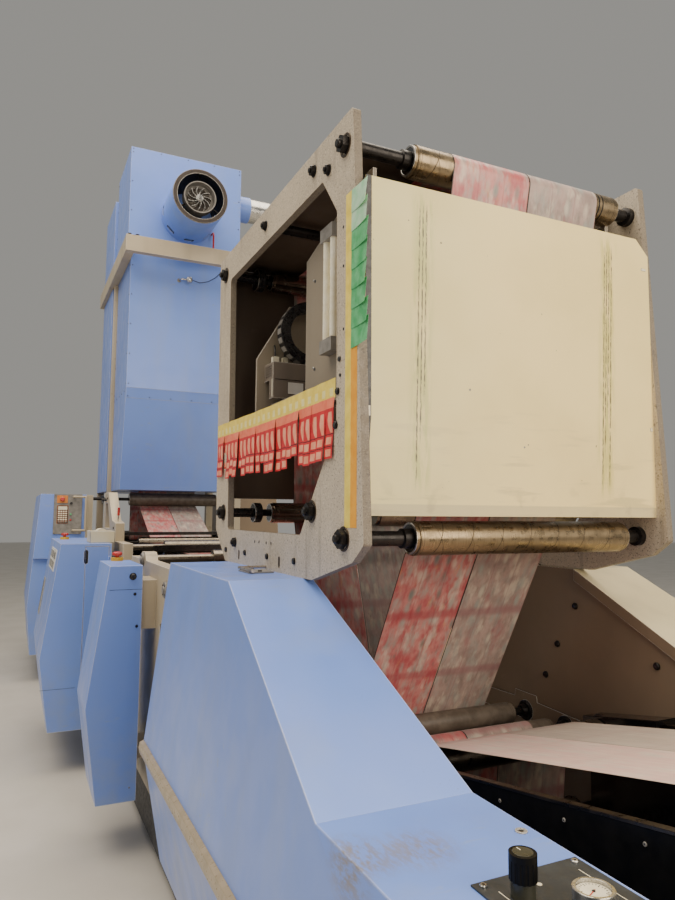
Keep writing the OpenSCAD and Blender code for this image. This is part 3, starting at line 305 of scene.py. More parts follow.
# Brown-grey copy of the cream cover paint: painted shade on the drive covers' inward faces.
SHADED_DRIVE_WALL = enamel("drive_wall", "86745f", "705f4c", "928068", 0.5)
DARK = plain("dark_grey", "38393c", "26272a", 0.6)
BLACK = plain("black_enamel", "0e0e10", "17171a", 0.16, coat=0.6, grain=40.0)
DULL = plain("worn_black", "0b0b0b", "141312", 0.42, grain=200.0)
DULL.put(DULL.bsdf, "Specular IOR Level", 0.12)
PANEL = plain("dark_panel", "33373b", "25292d", 0.45, grain=700.0)
STEEL = brushed("steel", "c9bfb2", "8b8075")
RING = brushed("dark_steel", "5c5145", "3a322a", 0.3)
CYLINDER = brushed("cylinder_steel", "8b8377", "5d554b", 0.3)
POLISHED = brushed("polished_steel", "9a9187", "6c6359", 0.13)
IRON = plain("black_steel", "1d1b1b", "2b2827", 0.34, metal=0.6)
BRIGHT = brushed("bright_metal", "d7d6d3", "9c9a96", 0.22)
RUBBER = plain("dark_rubber", "6a6056", "544b42", 0.42, grain=120.0)
MOULD = plain("black_plastic", "141416", "1e1e21", 0.3, grain=600.0)
OLIVE = plain("olive_plastic", "35352b", "28281f", 0.35, grain=600.0)
RED = plain("red_plastic", "c4302a", "a8241f", 0.3, coat=0.3)
YELLOW = plain("yellow_plastic", "e2b335", "cf9d22", 0.35)
AMBER = plain("amber_plastic", "e0882c", "c9721c", 0.35, coat=0.2)
IVORY = plain("ivory_plastic", "ece6d2", "dcd4bb", 0.35)
LIGHT = plain("lamp_tube", "fbf6e4", "f4ecd0", 0.3)
TAPE = plain("yellow_tape", "fbe36c", "ead153", 0.4, grain=90.0)
PALE_TAPE = plain("pale_tape", "f8eeaa", "efe291", 0.4, grain=90.0)
ORANGE_TAPE = plain("orange_tape", "f8b233", "eda022", 0.4, grain=90.0)
GREEN = plain("green_paper", "3fa764", "6cc488", 0.4, grain=50.0)
PALE_GREEN = plain("pale_green_paper", "c4e6cb", "9cd6ab", 0.4, grain=50.0)
TAG_RED = plain("red_paper", "dc2a30", "c4202a", 0.42, grain=50.0)
CORAL = plain("coral_paper", "f58566", "ee7256", 0.42, grain=50.0)
BLUSH = plain("blush_paper", "f8b292", "f0926f", 0.42, grain=50.0)


# Shapes


def linked(name, data):
    made = bpy.data.objects.new(name, data)
    bpy.context.scene.collection.objects.link(made)
    return made


def around(axis, sides, turn=0.0, side=None):
    """Unit directions square to an axis, evenly spaced round it."""
    side = side or axis.orthogonal().normalized()
    up = axis.cross(side)
    return [side * cos(a) + up * sin(a) for a in (turn + 2 * pi * k / sides for k in range(sides))]


class Piece:
    """One mesh built from many small shapes, each with its own finish."""

    def __init__(self, name, slot, body=HOME):
        self.name, self.body, self.slot = name, body, slot
        self.mesh = bmesh.new()
        self.finishes = []

    def skin(self, rings, finish, round_by=0.0, closed=False):
        """Faces from each ring of points to the next. The ends are capped, or joined in a closed shape."""
        if finish.material not in self.finishes:
            self.finishes.append(finish.material)
        verts = [[self.mesh.verts.new(p) for p in ring] for ring in rings]
        n = len(verts[0])
        row = verts + verts[:1] if closed else verts
        quads = [(a[k], a[(k + 1) % n], b[(k + 1) % n], b[k]) for a, b in zip(row, row[1:]) for k in range(n)]
        caps = [] if closed else [verts[0][::-1], verts[-1]]
        made = [self.mesh.faces.new(corners) for corners in quads + caps]
        for face in made:
            face.material_index = self.finishes.index(finish.material)
        if round_by:
            edges = list(dict.fromkeys(e for f in made for e in f.edges))
            bmesh.ops.bevel(self.mesh, geom=edges, offset=round_by, segments=2, affect="EDGES",
                            clamp_overlap=True)
        return [v for ring in verts for v in ring]

    def box(self, low, high, finish, round_by=0.0015, turn=None):
        """A block with rounded edges, turned by a matrix about its middle if one is given."""
        low, high = Vector(low), Vector(high)
        corners = ((low.y, low.z), (high.y, low.z), (high.y, high.z), (low.y, high.z))
        rings = [[Vector((x, y, z)) for y, z in corners] for x in (low.x, high.x)]
        if turn:
            centre = (low + high) / 2
            rings = [[centre + turn @ (p - centre) for p in ring] for ring in rings]
        self.skin(rings, finish, round_by)

    def brick(self, at, half, finish, round_by=0.0015, turn=None):
        """A block by its middle and half its sizes."""
        at, half = Vector(at), Vector(half)
        self.box(at - half, at + half, finish, round_by, turn)

    def lathe(self, base, axis, profile, finish, sides=32, turn=0.0):
        """A turned shape: profile lists (height, radius) along the axis, closed at both ends."""
        base, axis = Vector(base), Vector(axis).normalized()
        outs = around(axis, sides, turn)
        rings = [[base + axis * height + out * radius for out in outs] for height, radius in profile]
        self.skin(rings, finish)

    def disc(self, base, axis, radius, thick, finish, sides=24):
        edge = min(0.0008, thick * 0.4, radius * 0.3)
        self.lathe(base, axis, [(0, radius), (thick - edge, radius), (thick, radius - edge)], finish, sides)

    def ring(self, base, axis, inner, outer, thick, finish, sides=32):
        base, axis = Vector(base), Vector(axis).normalized()
        edge = min(thick, outer - inner) * 0.3
        section = [(0, inner), (thick - edge, inner), (thick, inner + edge), (thick, outer - edge),
                   (thick - edge, outer), (0, outer)]
        rings = [[base + axis * h + out * r for h, r in section] for out in around(axis, sides)]
        self.skin(rings, finish, closed=True)

    def tube(self, points, radius, finish, sides=10):
        """A round rod that follows points."""
        points = [Vector(p) for p in points]
        rings = []
        side = None
        for i, p in enumerate(points):
            along = (points[min(i + 1, len(points) - 1)] - points[max(i - 1, 0)]).normalized()
            side = (side - along * side.dot(along) if side else along.orthogonal()).normalized()
            rings.append([p + out * radius for out in around(along, sides, side=side)])
        self.skin(rings, finish)

    def prism(self, outline, start, end, finish, round_by=0.0, axis="X"):
        """An outline extruded along X or Y. It lists pairs of the other two coordinates, in order."""
        rings = [[(s, a, b) if axis == "X" else (a, s, b) for a, b in outline] for s in (start, end)]
        return self.skin(rings, finish, round_by)

    def done(self, smooth=35.0, flat=False):
        bmesh.ops.recalc_face_normals(self.mesh, faces=self.mesh.faces[:])
        data = bpy.data.meshes.new(self.name)
        self.mesh.to_mesh(data)
        self.mesh.free()
        for material in self.finishes:
            data.materials.append(material)
        if not flat:
            for polygon in data.polygons:
                polygon.use_smooth = True
            data.set_sharp_from_angle(angle=radians(smooth))
        made = linked(self.name, data)
        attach(made, self.body)
        return made


def screw(piece, at, axis, r, finish=IRON, socket=True):
    """A low round screw head with a black hexagon on top, painted shade of its socket."""
    piece.lathe(at, axis, [(0, r), (r * 0.35, r), (r * 0.6, r * 0.8)], finish, 16)
    if socket:
        # Black hexagon: painted shade of the socket.
        piece.lathe(Vector(at) + axis * r * 0.6, axis, [(0, r * 0.45), (r * 0.02, r * 0.42)], BLACK, 6)


def nut(piece, at, axis, r, thick, stud):
    """A hexagon nut on a washer, with its stud's end and a black disc of painted shade for its centre hole.
    """
    washer = r * 0.12
    piece.disc(at, axis, r * 1.12, washer, IRON)
    base = Vector(at) + axis * washer
    piece.lathe(base, axis, [(0, r), (thick - washer, r), (thick, r - washer)], IRON, 6, 0.3)
    end = base + axis * thick
    piece.lathe(end, axis, [(0, stud), (r * 0.25, stud), (r * 0.32, stud * 0.85)], IRON, 20)
    # Black disc: painted shade of the centre hole.
    piece.lathe(end + axis * r * 0.32, axis, [(0, stud * 0.3), (0.0004, stud * 0.3)], BLACK, 12)


def solids(node):
    """Lowest and highest corner of each separate solid of a node, in order of Y, then Z."""
    data = NODES[node].data
    keys = [tuple(round(c, 5) for c in v.co) for v in data.vertices]
    parent = {key: key for key in keys}

    def root(key):
        while parent[key] != key:
            parent[key] = parent[parent[key]]
            key = parent[key]
        return key

    for e in data.edges:
        parent[root(keys[e.vertices[0]])] = root(keys[e.vertices[1]])
    groups = {}
    for v, key in zip(data.vertices, keys):
        groups.setdefault(root(key), []).append(v.co)
    boxes = [[Vector([pick(c) for c in zip(*points)]) for pick in (min, max)] for points in groups.values()]
    return sorted(boxes, key=lambda b: (round(b[0].y + b[1].y, 3), b[0].z))


def middle(box):
    return (box[0] + box[1]) / 2


def centre(node):
    return middle(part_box(node))


def beside(x, point):
    """The point with another X."""
    return Vector((x, point.y, point.z))


# Camera, light and floor


def camera():
    """The photograph's place: seen from the front left of the front unit, at eye height."""
    yaw, pitch, roll = -25.13, 95.324, 0.405
    data = bpy.data.cameras.new("camera")
    data.sensor_width = 36
    data.lens = 27.6
    data.clip_end = 200
    made = linked("camera", data)
    turn = Matrix.Translation((-1.6, -5.1, 1.78))
    for angle, axis in ((yaw, "Z"), (pitch, "X"), (roll, "Z")):
        turn = turn @ Matrix.Rotation(radians(angle), 4, axis)
    made.matrix_world = turn
    bpy.context.scene.camera = made


def lamp(name, at, aim, size, power, color):
    data = bpy.data.lights.new(name, "AREA")
    data.shape = "RECTANGLE"
    data.size, data.size_y = size
    data.energy = power
    data.color = paint(color)
    made = linked(name, data)
    made.location = at
    made.rotation_mode = "QUATERNION"
    made.rotation_quaternion = (Vector(aim) - Vector(at)).to_track_quat("-Z", "Y")


def studio():
    world = bpy.data.worlds.new("studio")
    world.use_nodes = True
    sky = world.node_tree.nodes["Background"]
    sky.inputs["Color"].default_value = (*paint("f4f1ea"), 1)
    sky.inputs["Strength"].default_value = 0.34
    bpy.context.scene.world = world
    lamp("ceiling", (-1.5, -1.0, 9.5), (-0.2, -0.5, 0), (9, 12), 1500, "fff1dc")
    lamp("left", (-9.0, -2.0, 6.0), (0, 0, 2.4), (5, 9), 110, "fffaf2")
    lamp("front", (0.8, -7.8, 3.6), (0, -3.2, 2.0), (5, 4), 330, "fff0da")
    floor = bpy.data.meshes.new("floor")
    half = 40.0
    corners = [(-half, -half, 0), (half, -half, 0), (half, half, 0), (-half, half, 0)]
    floor.from_pydata(corners, [], [(0, 1, 2, 3)])
    s = Shader("floor", "c6c2bb", 0.6)
    s.over(s.blots(2.0, 5, 0.3, 0.7), "bdb9b1")
    floor.materials.append(s.material)
    linked("floor", floor)


# Finishes of the CAD nodes


def dress(finish, *names, bevel=0.0):
    """Gives CAD nodes a finish, and softens their sharp edges."""
    for name in names:
        node = NODES[name]
        node.data.materials.clear()
        node.data.materials.append(finish.material)
        if bevel:
            node.modifiers.new("weld", "WELD").merge_threshold = 0.00002
            edge = node.modifiers.new("bevel", "BEVEL")
            edge.width = bevel
            edge.segments = 2
            edge.limit_method = "ANGLE"
            edge.angle_limit = radians(30)
            edge.harden_normals = True
            edge.use_clamp_overlap = True


def split(name, other, test):
    """Gives those faces of a CAD node that pass the test, by centre and normal, a second finish."""
    data = NODES[name].data
    data.materials.append(other.material)
    for polygon in data.polygons:
        if test(polygon.center, polygon.normal):
            polygon.material_index = len(data.materials) - 1


def dress_all():
    large, small = 0.0025, 0.0015
    worn = rubbed(enamel("worn_blue", "7698ea", "688ade", "8d9ec6"),
                  (((-0.99, -3.88, 1.137), 0.12, 0.9), ((-0.86, -3.90, 1.137), 0.11, 0.7),
                   ((-0.99, -4.20, 1.137), 0.14, 0.6)))
    # The unit housings' dark grey also serves as painted shade for the dark space under the side frames.
    dress(DARK, "base_beams", "cross_beams", "unit_housings", bevel=large)
    dress(IRON, "levelling_feet", "roller_shafts", "frame_stays")
    dress(worn, "operator_cabinet", bevel=large)
    dress(BLUE, "unit_two_cabinet", "unit_two_door", "tower_shaft", "tower_column",
          "tower_head", "rear_console", "unit_one_shield", bevel=large)
    dress(BLUE, "blower_casing")
    dress(CREAM, "drive_covers", bevel=large)
    # The covers' inward faces, and their front-facing faces beyond Y 0, take the painted-shade copy of the
    # cream.
    split("drive_covers", SHADED_DRIVE_WALL, lambda c, n: n.x < -0.9 or (n.y < -0.9 and c.y > 0))
    dress(RAIL, "cabinet_bumpers", bevel=large)
    dress(BEIGE, "unit_two_bracket", "cabinet_brackets", "tower_posts", "ring_side_beams",
          "ring_cross_beams", "side_frames", bevel=large)
    dress(BLACK, "web_tray", bevel=small)
    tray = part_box("web_tray")[0].x + 0.001
    split("web_tray", DULL, lambda c, n: c.x < tray)
    dress(PANEL, "control_panel", bevel=small)
    dress(GREY, "rear_keypad", bevel=small)
    dress(HEAD, "inspection_head", bevel=small)
    dress(GEAR, "inspection_beam", bevel=small)
    dress(PLATE, "left_frame_plate", "right_frame_plate", bevel=0.002)
    dress(MOULD, "cable_chain")
    dress(DULL, "regulator_knob")
    dress(CYLINDER, "guide_rollers", "print_cylinders")
    dress(POLISHED, "rear_top_roller", "rear_low_roller")
    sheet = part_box("front_sheet")
    dress(sheet_paint("sheet_paint", sheet[0].z, sheet[1].z), "front_sheet")
    dress(SHADE, "frame_cover")
    dress(RUBBER, "draw_roller", "wrap_roller", "tower_roller")
    dress(YELLOW, "stop_bases")
    dress(RED, "stop_button_one", "stop_button_two")
    dress(BEIGE, "rear_handle")
    dress(GREY, "blower_motor")
    dress(spiral_steel("spiral_low", centre("lower_roller")), "lower_roller")
    dress(spiral_steel("spiral_top", centre("top_roller"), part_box("web_runs")[0].x), "top_roller")
    dress_mixed()


def dress_mixed():
    """Nodes with more than one finish: gauge, lamp, duct, fan, blower lip and the door's finger pocket."""
    dress(BRIGHT, "pressure_gauge", "duct_stub", "fan_wheel")
    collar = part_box("regulator_knob")[1].x + 0.004
    split("pressure_gauge", OLIVE, lambda c, n: c.x < collar)
    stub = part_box("duct_stub")[0].x + 0.197
    split("duct_stub", BLUE, lambda c, n: c.x < stub and hypot(c.y - 2.75, c.z - 5.47) > 0.138)
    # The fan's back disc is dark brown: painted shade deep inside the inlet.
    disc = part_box("fan_wheel")[1].y - 0.0065
    split("fan_wheel", LIP, lambda c, n: c.y > disc)
    hub, lip = centre("blower_casing"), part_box("blower_casing")[0].y + 0.006
    # Inward faces of the casing are dark grey: painted shade inside the inlet.
    split("blower_casing", DARK, lambda c, n: n.x * (c.x - hub.x) + n.z * (c.z - hub.z) < -0.01)
    split("blower_casing", LIP, lambda c, n: c.y < lip)
    dress(LIGHT, "inspection_lamp")
    low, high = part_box("inspection_lamp")
    split("inspection_lamp", GREY, lambda c, n: not low.z + 0.051 < c.z < high.z - 0.051)
    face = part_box("unit_two_door")[0].y + 0.0145
    for name in ("unit_two_door", "unit_two_cabinet"):
        split(name, MOULD,
              lambda c, n: face < c.y < face + 0.0105 and -1.127 < c.x < -1.097 and 1.41 < c.z < 1.525)


# Printed paper


# From a roller's face to the middle of the web on it
CLEAR = 0.0009


def stop(box, turn):
    """A route stop (y, z, radius) at a roller. Turn is 1 or -1, as the web turns round it."""
    at = middle(box)
    return at.y, at.z, turn * (box[1].z - box[0].z) / 2


def web_radius(s):
    return copysign(abs(s[2]) + CLEAR, s[2]) if s[2] else 0.0


def web_path(route):
    """Points in the middle of the web, from one roller to the next."""
    points = []
    for i, (p, q) in enumerate(zip(route, route[1:])):
        y, z = q[0] - p[0], q[1] - p[1]
        a = atan2(z, y) - asin((web_radius(p) - web_radius(q)) / hypot(y, z))
        side = Vector((0, -sin(a), cos(a)))
        start, end = (Vector((0, s[0], s[1])) + side * web_radius(s) for s in (p, q))
        if i:
            turn = (a - before + pi) % (2 * pi) - pi
            steps = max(2, int(abs(turn) / radians(5)))
            for k in range(1, steps):
                b = before + turn * k / steps
                points.append(Vector((0, p[0], p[1])) + Vector((0, -sin(b), cos(b))) * web_radius(p))
        runs = max(1, int((end - start).length / 0.12))
        points += [start.lerp(end, k / runs) for k in range(runs + 1)]
        before = a
    return points


def ribbon(name, path, x0, x1, finish):
    """A thin strip of paper along a path. Its UV holds metres across, and metres along."""
    half = 0.00025
    rings, places = [], []
    length = 0.0
    for i, p in enumerate(path):
        along = (path[min(i + 1, len(path) - 1)] - path[max(i - 1, 0)]).normalized()
        out = Vector((0, -along.z, along.y)) * half
        length += (p - path[max(i - 1, 0)]).length
        rings.append([X * x + p + out * side for x, side in ((x0, 1), (x1, 1), (x1, -1), (x0, -1))])
        places += [(x - x0, length) for x in (x0, x1, x1, x0)]
    piece = Piece(name, "paper")
    piece.skin(rings, finish)
    made = piece.done(40)
    layer = made.data.uv_layers.new(name="print")
    for loop in made.data.loops:
        layer.data[loop.index].uv = places[loop.vertex_index]
    return made


def paper():
    end, bed, turn, dip, low, crest, guide, riser, infeed = solids("guide_rollers")
    one, two, rear = solids("print_cylinders")[::2]
    tower, draw, wrap, top, rear_top, rear_low = (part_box(name + "_roller") for name in (
        "tower", "draw", "wrap", "top", "rear_top", "rear_low"))
    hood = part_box("tower_shaft")[0].z
    web_low, web_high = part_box("web_runs")
    first, last, rise = stop(tower, 1), stop(end, -1), stop(riser, 1)
    tray_floor, exit_z = 0.2805, 1.440
    between = [stop(box, way) for box, way in (
        (guide, 1), (two, -1), (one, -1), (crest, -1), (low, 1), (rear_low, -1), (rear_top, -1), (top, -1),
        (turn, -1), (draw, 1), (wrap, -1), (dip, 1), (bed, -1))]
    down = [(first[0] + first[2] + CLEAR, hood, 0), first, *between, last,
            (last[0] + last[2] - CLEAR, tray_floor, 0)]
    up = [(web_high.y - 0.0005, exit_z, 0), stop(infeed, -1), stop(rear, -1), rise,
          (rise[0] - rise[2] - CLEAR, hood, 0)]
    half = (web_high.x - web_low.x - 0.0025) / 2
    crimson = print_colours("print_left", ("b9545a", "cf8e88"), ("f0d3c8", "f6e2d2"),
                            (("a8a8a0", 20.0, 0.45, 0.68, 0.75), ("6f7a74", 25.0, 0.56, 0.74, 0.6),
                             ("dccdbc", 17.0, 0.5, 0.7, 0.75), ("d29a62", 29.0, 0.58, 0.74, 0.5),
                             ("ab3c46", 15.0, 0.5, 0.76, 0.6)), "a8424c")
    dull = print_colours("print_right", ("93807a", "b59d94"), ("cdbcab", "dccbbb"),
                         (("9aa09a", 19.0, 0.45, 0.7, 0.65), ("cfc2b0", 23.0, 0.5, 0.7, 0.7),
                          ("9f5f63", 16.0, 0.53, 0.72, 0.6), ("6d6a60", 27.0, 0.56, 0.74, 0.5)), "94666a")
    for name, x0, finish in (("left", web_low.x, crimson), ("right", web_high.x - half, dull)):
        made = ribbon(f"paper_{name}", web_path(down), x0, x0 + half, finish)
        ribbon(f"paper_{name}_rear", web_path(up), x0, x0 + half, finish)
        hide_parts("web_runs", "web_wraps")


# Upper frame


def outward(side):
    """The outer face's X of a frame plate and the direction out of it, for side -1 or 1."""
    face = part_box("left_frame_plate")[0].x if side < 0 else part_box("right_frame_plate")[1].x
    return face, X * side


def plate_fittings():
    """Stud ends, nuts, screws and small holes on the outer faces of both frame plates; the holes are black
    discs of painted shade.
    """
    screws = [(y, 1.612, 0.012, IRON) for y in (-1.912, -2.203, -2.490, -2.779)]
    screws += [(-3.124, 2.063, 0.013, IRON), (-3.149, 2.272, 0.009, MOULD), (-3.154, 2.219, 0.006, MOULD),
               (-3.137, 2.170, 0.012, IRON)]
    holes = [(y, 1.665, 0.0065, 16) for y in (-2.332, -2.386, -2.475, -2.531)]
    holes += [(y, z, 0.0055, 12) for y, z in ((-3.170, 2.698), (-3.172, 2.569), (-3.175, 2.363))]
    for name, side in (("left", -1), ("right", 1)):
        piece = Piece(name + "_plate_fittings", "black_steel")
        face, out = outward(side)
        for box in solids("roller_shafts"):
            if -0.75 < box[0].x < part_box("left_frame_plate")[0].x:
                end = beside(box[0].x if side < 0 else box[1].x, middle(box))
                piece.ring(beside(face, end), out, 0.0302, 0.039, 0.003, RING)
                piece.lathe(end, out, [(0, 0.015), (0.009, 0.015), (0.012, 0.012)], IRON, 24)
                # Black disc: painted shade of the shaft end's centre hole.
                piece.lathe(end + out * 0.012, out, [(0, 0.005), (0.0005, 0.005)], BLACK, 12)
        for box in solids("frame_stays"):
            if box[0].x > -0.7 and box[1].y < 0:
                nut(piece, beside(face, middle(box)), out, 0.02, 0.013, 0.010)
        nut(piece, (face, -3.051, 2.944), out, 0.018, 0.012, 0.009)
        for y, z, r, finish in screws:
            screw(piece, (face, y, z), out, r, finish)
        for y, z, r, sides in holes:
            # Black discs: painted shade of the small holes.
            piece.disc((face, y, z), out, r, 0.0006, BLACK, sides)
        piece.done()


def shaft_sleeves(piece):
    """Black sleeves between the frame plates and the front rollers, and flanges at the rear rollers."""
    left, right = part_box("left_frame_plate")[1].x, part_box("right_frame_plate")[0].x
    for name in ("top_roller", "lower_roller"):
        low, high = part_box(name)
        for wall, out, gap, foot, step, collar, tail in (
                (left, X, low.x - left, 0.034, 0.014, 0.032, 0.03),
                (right, -X, right - high.x, 0.036, 0.022, 0.030, 0.02)):
            reach = gap - 0.002
            piece.lathe(beside(wall, centre(name)), out, [
                (0, foot), (step, foot), (step + 0.004, 0.024), (reach - tail, 0.024),
                (reach - tail + 0.002, collar), (reach, collar)], IRON)
    for name, r, start, end in (("rear_low_roller", 0.048, -0.532, -0.497),
                                ("rear_top_roller", 0.058, -0.527, -0.489)):
        at = centre(name)
        near, far = start - left, end - left
        piece.lathe(beside(left, at), X, [(0, 0.022), (near, 0.022), (near + 0.004, r - 0.004),
                                          (near + 0.009, r), (far, r), (far + 0.003, r - 0.003)], MOULD)
        piece.ring(beside(start + 0.004, at), -X, r - 0.007, r - 0.0005, 0.004, BRIGHT, 40)


def roller_ends():
    """Bright rims round black rings, painted shade of the cups in the ends of each turning roller, and seam
    rings near them.
    """
    for name in ("top_roller", "lower_roller", "rear_top_roller", "rear_low_roller", "draw_roller",
                 "wrap_roller", "tower_roller"):
        low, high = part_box(name)
        at, r = centre(name), (high.z - low.z) / 2
        piece = Piece(name + "_ends", "bright_metal", name)
        for x, out in ((low.x, -X), (high.x, X)):
            # Black ring: painted shade of the cup in the roller's end.
            piece.ring(beside(x, at), out, 0.0176, r - 0.011, 0.0004, BLACK)
            piece.ring(beside(x, at), out, r - 0.011, r - 0.0042, 0.0016, BRIGHT)
            for back in (0.016, 0.024):
                piece.ring(beside(x, at) - out * back, out, r - 0.001, r + 0.0002, 0.0014, RING, 48)
        if name == "top_roller":
            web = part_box("web_runs")[1].x
            for x in (web + 0.012, web + 0.030):
                piece.ring(beside(x, at), X, r - 0.001, r + 0.0006, 0.006, IRON, 48)
        piece.done()


# Lowest and highest edge of the row of flags, and how many tags hang from the tape
FLAGS = (2.30, 2.795)
TAGS = 23


def tapes(piece):
    """A yellow tape across the window, and a yellow and an orange one down the near rim."""
    face, _ = outward(-1)
    back, front = face - 0.0002, face - 0.0008
    y0, y1, z0, z1 = -3.118, -1.722, 2.154, 2.2185
    steps = 24
    upper, lower = [], []
    for k in range(steps + 1):
        y = y0 + (y1 - y0) * k / steps
        sag = -0.006 * sin(pi * k / steps) + random.uniform(-0.0012, 0.0012)
        upper.append((y, z1 + sag))
        lower.append((y, z0 + sag))
    piece.prism(upper + lower[::-1], front, back, TAPE)
    for k in range(TAGS):
        y = y0 + 0.030 + (y1 - y0 - 0.060) * k / (TAGS - 1)
        piece.box((face - 0.001, y - 0.013, z0 + 0.008), (face - 0.0006, y + 0.013, z0 + 0.034), PALE_TAPE, 0)
    for near, high_z, finish in ((-3.272, FLAGS[0], ORANGE_TAPE), (-3.231, FLAGS[1], TAPE)):
        piece.box((front, near, 1.74), (back, near + 0.041, high_z), finish, 0)


def tag(piece, y, z, face, length, squares):
    """A bare paper tag under the tape: a coral band, a pale leaf on red, then rows of pale squares, with a
    dark line of painted shade at each fold.
    """
    half = 0.0306
    rows = [0.0, 0.034, length * 0.6, length * 0.8, length][:4 + squares]
    lean = [0.0]
    for _ in rows[1:]:
        lean.append(lean[-1] + random.uniform(-0.0045, 0.0015))
    slant = random.uniform(-0.012, 0.012)

    def place(v):
        depth = z - v.co.z
        for k in range(len(rows) - 1):
            if depth <= rows[k + 1] + 1e-6:
                v.co.x += lean[k] + (lean[k + 1] - lean[k]) * (depth - rows[k]) / (rows[k + 1] - rows[k])
                break
        v.co.y += slant * depth / length

    def sheet(outline, proud, finish):
        depth = face - 0.0012
        for v in piece.prism([(y + a, z - b) for a, b in outline], depth - proud, depth + proud, finish):
            place(v)

    def block(a, top, bottom, proud, finish):
        sheet([(-a, top), (a, top), (a, bottom), (-a, bottom)], proud, finish)

    for k in range(len(rows) - 1):
        block(half, rows[k], rows[k + 1], 0.0002, TAG_RED if k else CORAL)
    top, bottom = rows[1] + 0.012, rows[2] - 0.004
    steps = 5
    right = []
    for k in range(steps + 1):
        share = k / steps
        bow = 0.25 + 0.3 * sin(pi * share) - 0.6 * share ** 2
        right.append((half * bow, top + (bottom - top) * share))
    sheet([(-half * 0.55, top), (-half * 0.85, bottom)] + right[::-1], 0.0004, BLUSH)
    # Dark line at each fold between rows: painted shade of the fold.
    for k in range(2, len(rows) - 1):
        block(half, rows[k] - 0.001, rows[k] + 0.0012, 0.0005, MOULD)
        block(half * 0.68, rows[k] + 0.009, rows[k + 1] - 0.007, 0.0004, BLUSH)


def paper_tags(piece):
    """A row of paper tags hangs from the tape across the window."""
    face, _ = outward(-1)
    first, last, z = -3.082, -1.752, 2.156
    torn = (5, 6, 11, 16, 20)
    for k in range(TAGS):
        share = k / (TAGS - 1)
        sag = -0.006 * sin(pi * share)
        length = random.uniform(0.196, 0.212)
        y = first + (last - first) * share
        tag(piece, y, z + sag, face - 0.0011 * (k % 2), length, 0 if k in torn else 1)


def paper_flags(piece):
    """Shingled bare green flags, stuck to the left frame plate's face and standing out past its near edge."""
    face, _ = outward(-1)
    stuck, free = -3.232, -3.345
    count, columns = 8, 6
    pitch = (FLAGS[1] - FLAGS[0]) / count
    for k in range(count):
        top = FLAGS[1] - pitch * k
        reach = free + random.uniform(-0.006, 0.005) - stuck
        droop = random.uniform(-0.003, 0.006)
        curl = random.uniform(0.004, 0.011)
        rings = []
        for drop in (0.0, 0.45, 0.85, 1.22):
            row = []
            for share in (c / (columns - 1) for c in range(columns)):
                out = 0.0012 + 0.0012 * drop + curl * share ** 2 * (0.35 + 0.65 * drop)
                row.append(Vector((face - out, stuck + reach * share, top - pitch * drop - droop * share)))
            rings.append(row + [p + X * 0.0004 for p in reversed(row)])
        piece.skin(rings, PALE_GREEN if k < 2 else GREEN)


def sheet_fittings(piece):
    """A black strip down the front sheet's left edge, painted shade of the gap there, and small white tabs at
    its edges.
    """
    low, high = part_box("front_sheet")
    y, strip = low.y, low.x + 0.020
    # Black strip: painted shade in the gap beside the sheet's left edge.
    piece.prism([(low.x, low.z + 0.10), (low.x + 0.006, low.z + 0.10), (strip, low.z + 0.30), (strip, high.z),
                 (low.x, high.z)], y - 0.0006, y + 0.001, MOULD, axis="Y")
    for x, z, w, h in ((low.x + 0.011, 2.093, 0.012, 0.032), (high.x - 0.026, 2.719, 0.024, 0.010),
                       (high.x - 0.012, 2.104, 0.012, 0.014)):
        piece.brick((x, y - 0.0005, z), (w / 2, 0.0015, h / 2), IVORY, 0.0006)
    for x, z, r in ((-0.267, 2.187, 0.004), (-0.046, 2.009, 0.0035), (-0.030, 2.018, 0.0025)):
        piece.disc((x, y, z), -Y, r, 0.0005, LIP, 10)


def inspection_fittings(piece):
    """Holes on the hanger, and louvres, panel and plugs on the scanning head. The holes and the louvre slits
    are black: painted shade.
    """
    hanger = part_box("inspection_lamp")[1].x
    for y, z in ((-2.682, 2.687), (-2.686, 2.337), (-3.02, 2.80), (-3.02, 2.30)):
        # Black disc: painted shade of a hole.
        piece.disc((hanger, y, z), -X, 0.007, 0.0006, BLACK, 16)
        screw(piece, (hanger, y + 0.012, z + 0.006), -X, 0.005, BRIGHT, socket=False)
    low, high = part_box("inspection_head")
    step = low.z + 0.088
    # Dark strips: painted shade in the louvre slits.
    for k in range(5):
        z = step + 0.016 + 0.011 * k
        piece.box((low.x - 0.0006, low.y + 0.02, z), (low.x + 0.002, high.y - 0.02, z + 0.004), MOULD, 0)
    piece.box((low.x - 0.001, low.y + 0.004, low.z + 0.006), (low.x + 0.002, low.y + 0.014, step),
              IVORY, 0.0004)
    piece.box((low.x + 0.071, low.y - 0.0015, low.z + 0.022), (low.x + 0.149, low.y + 0.002, low.z + 0.078),
              WHITE)
    piece.box((low.x + 0.01, low.y - 0.0012, step - 0.002), (high.x - 0.01, low.y + 0.002, step + 0.001),
              MOULD, 0)
    for x, w in ((low.x + 0.026, 0.030), (low.x + 0.076, 0.024)):
        piece.box((x, high.y - 0.045, high.z), (x + w, high.y - 0.012, high.z + 0.042), IVORY)
        plug = Vector((x + w / 2, high.y, high.z))
        piece.tube([plug + Vector(p) for p in ((0, -0.028, 0.04), (0, -0.024, 0.075), (0.004, -0.004, 0.10))],
                   0.004, MOULD)


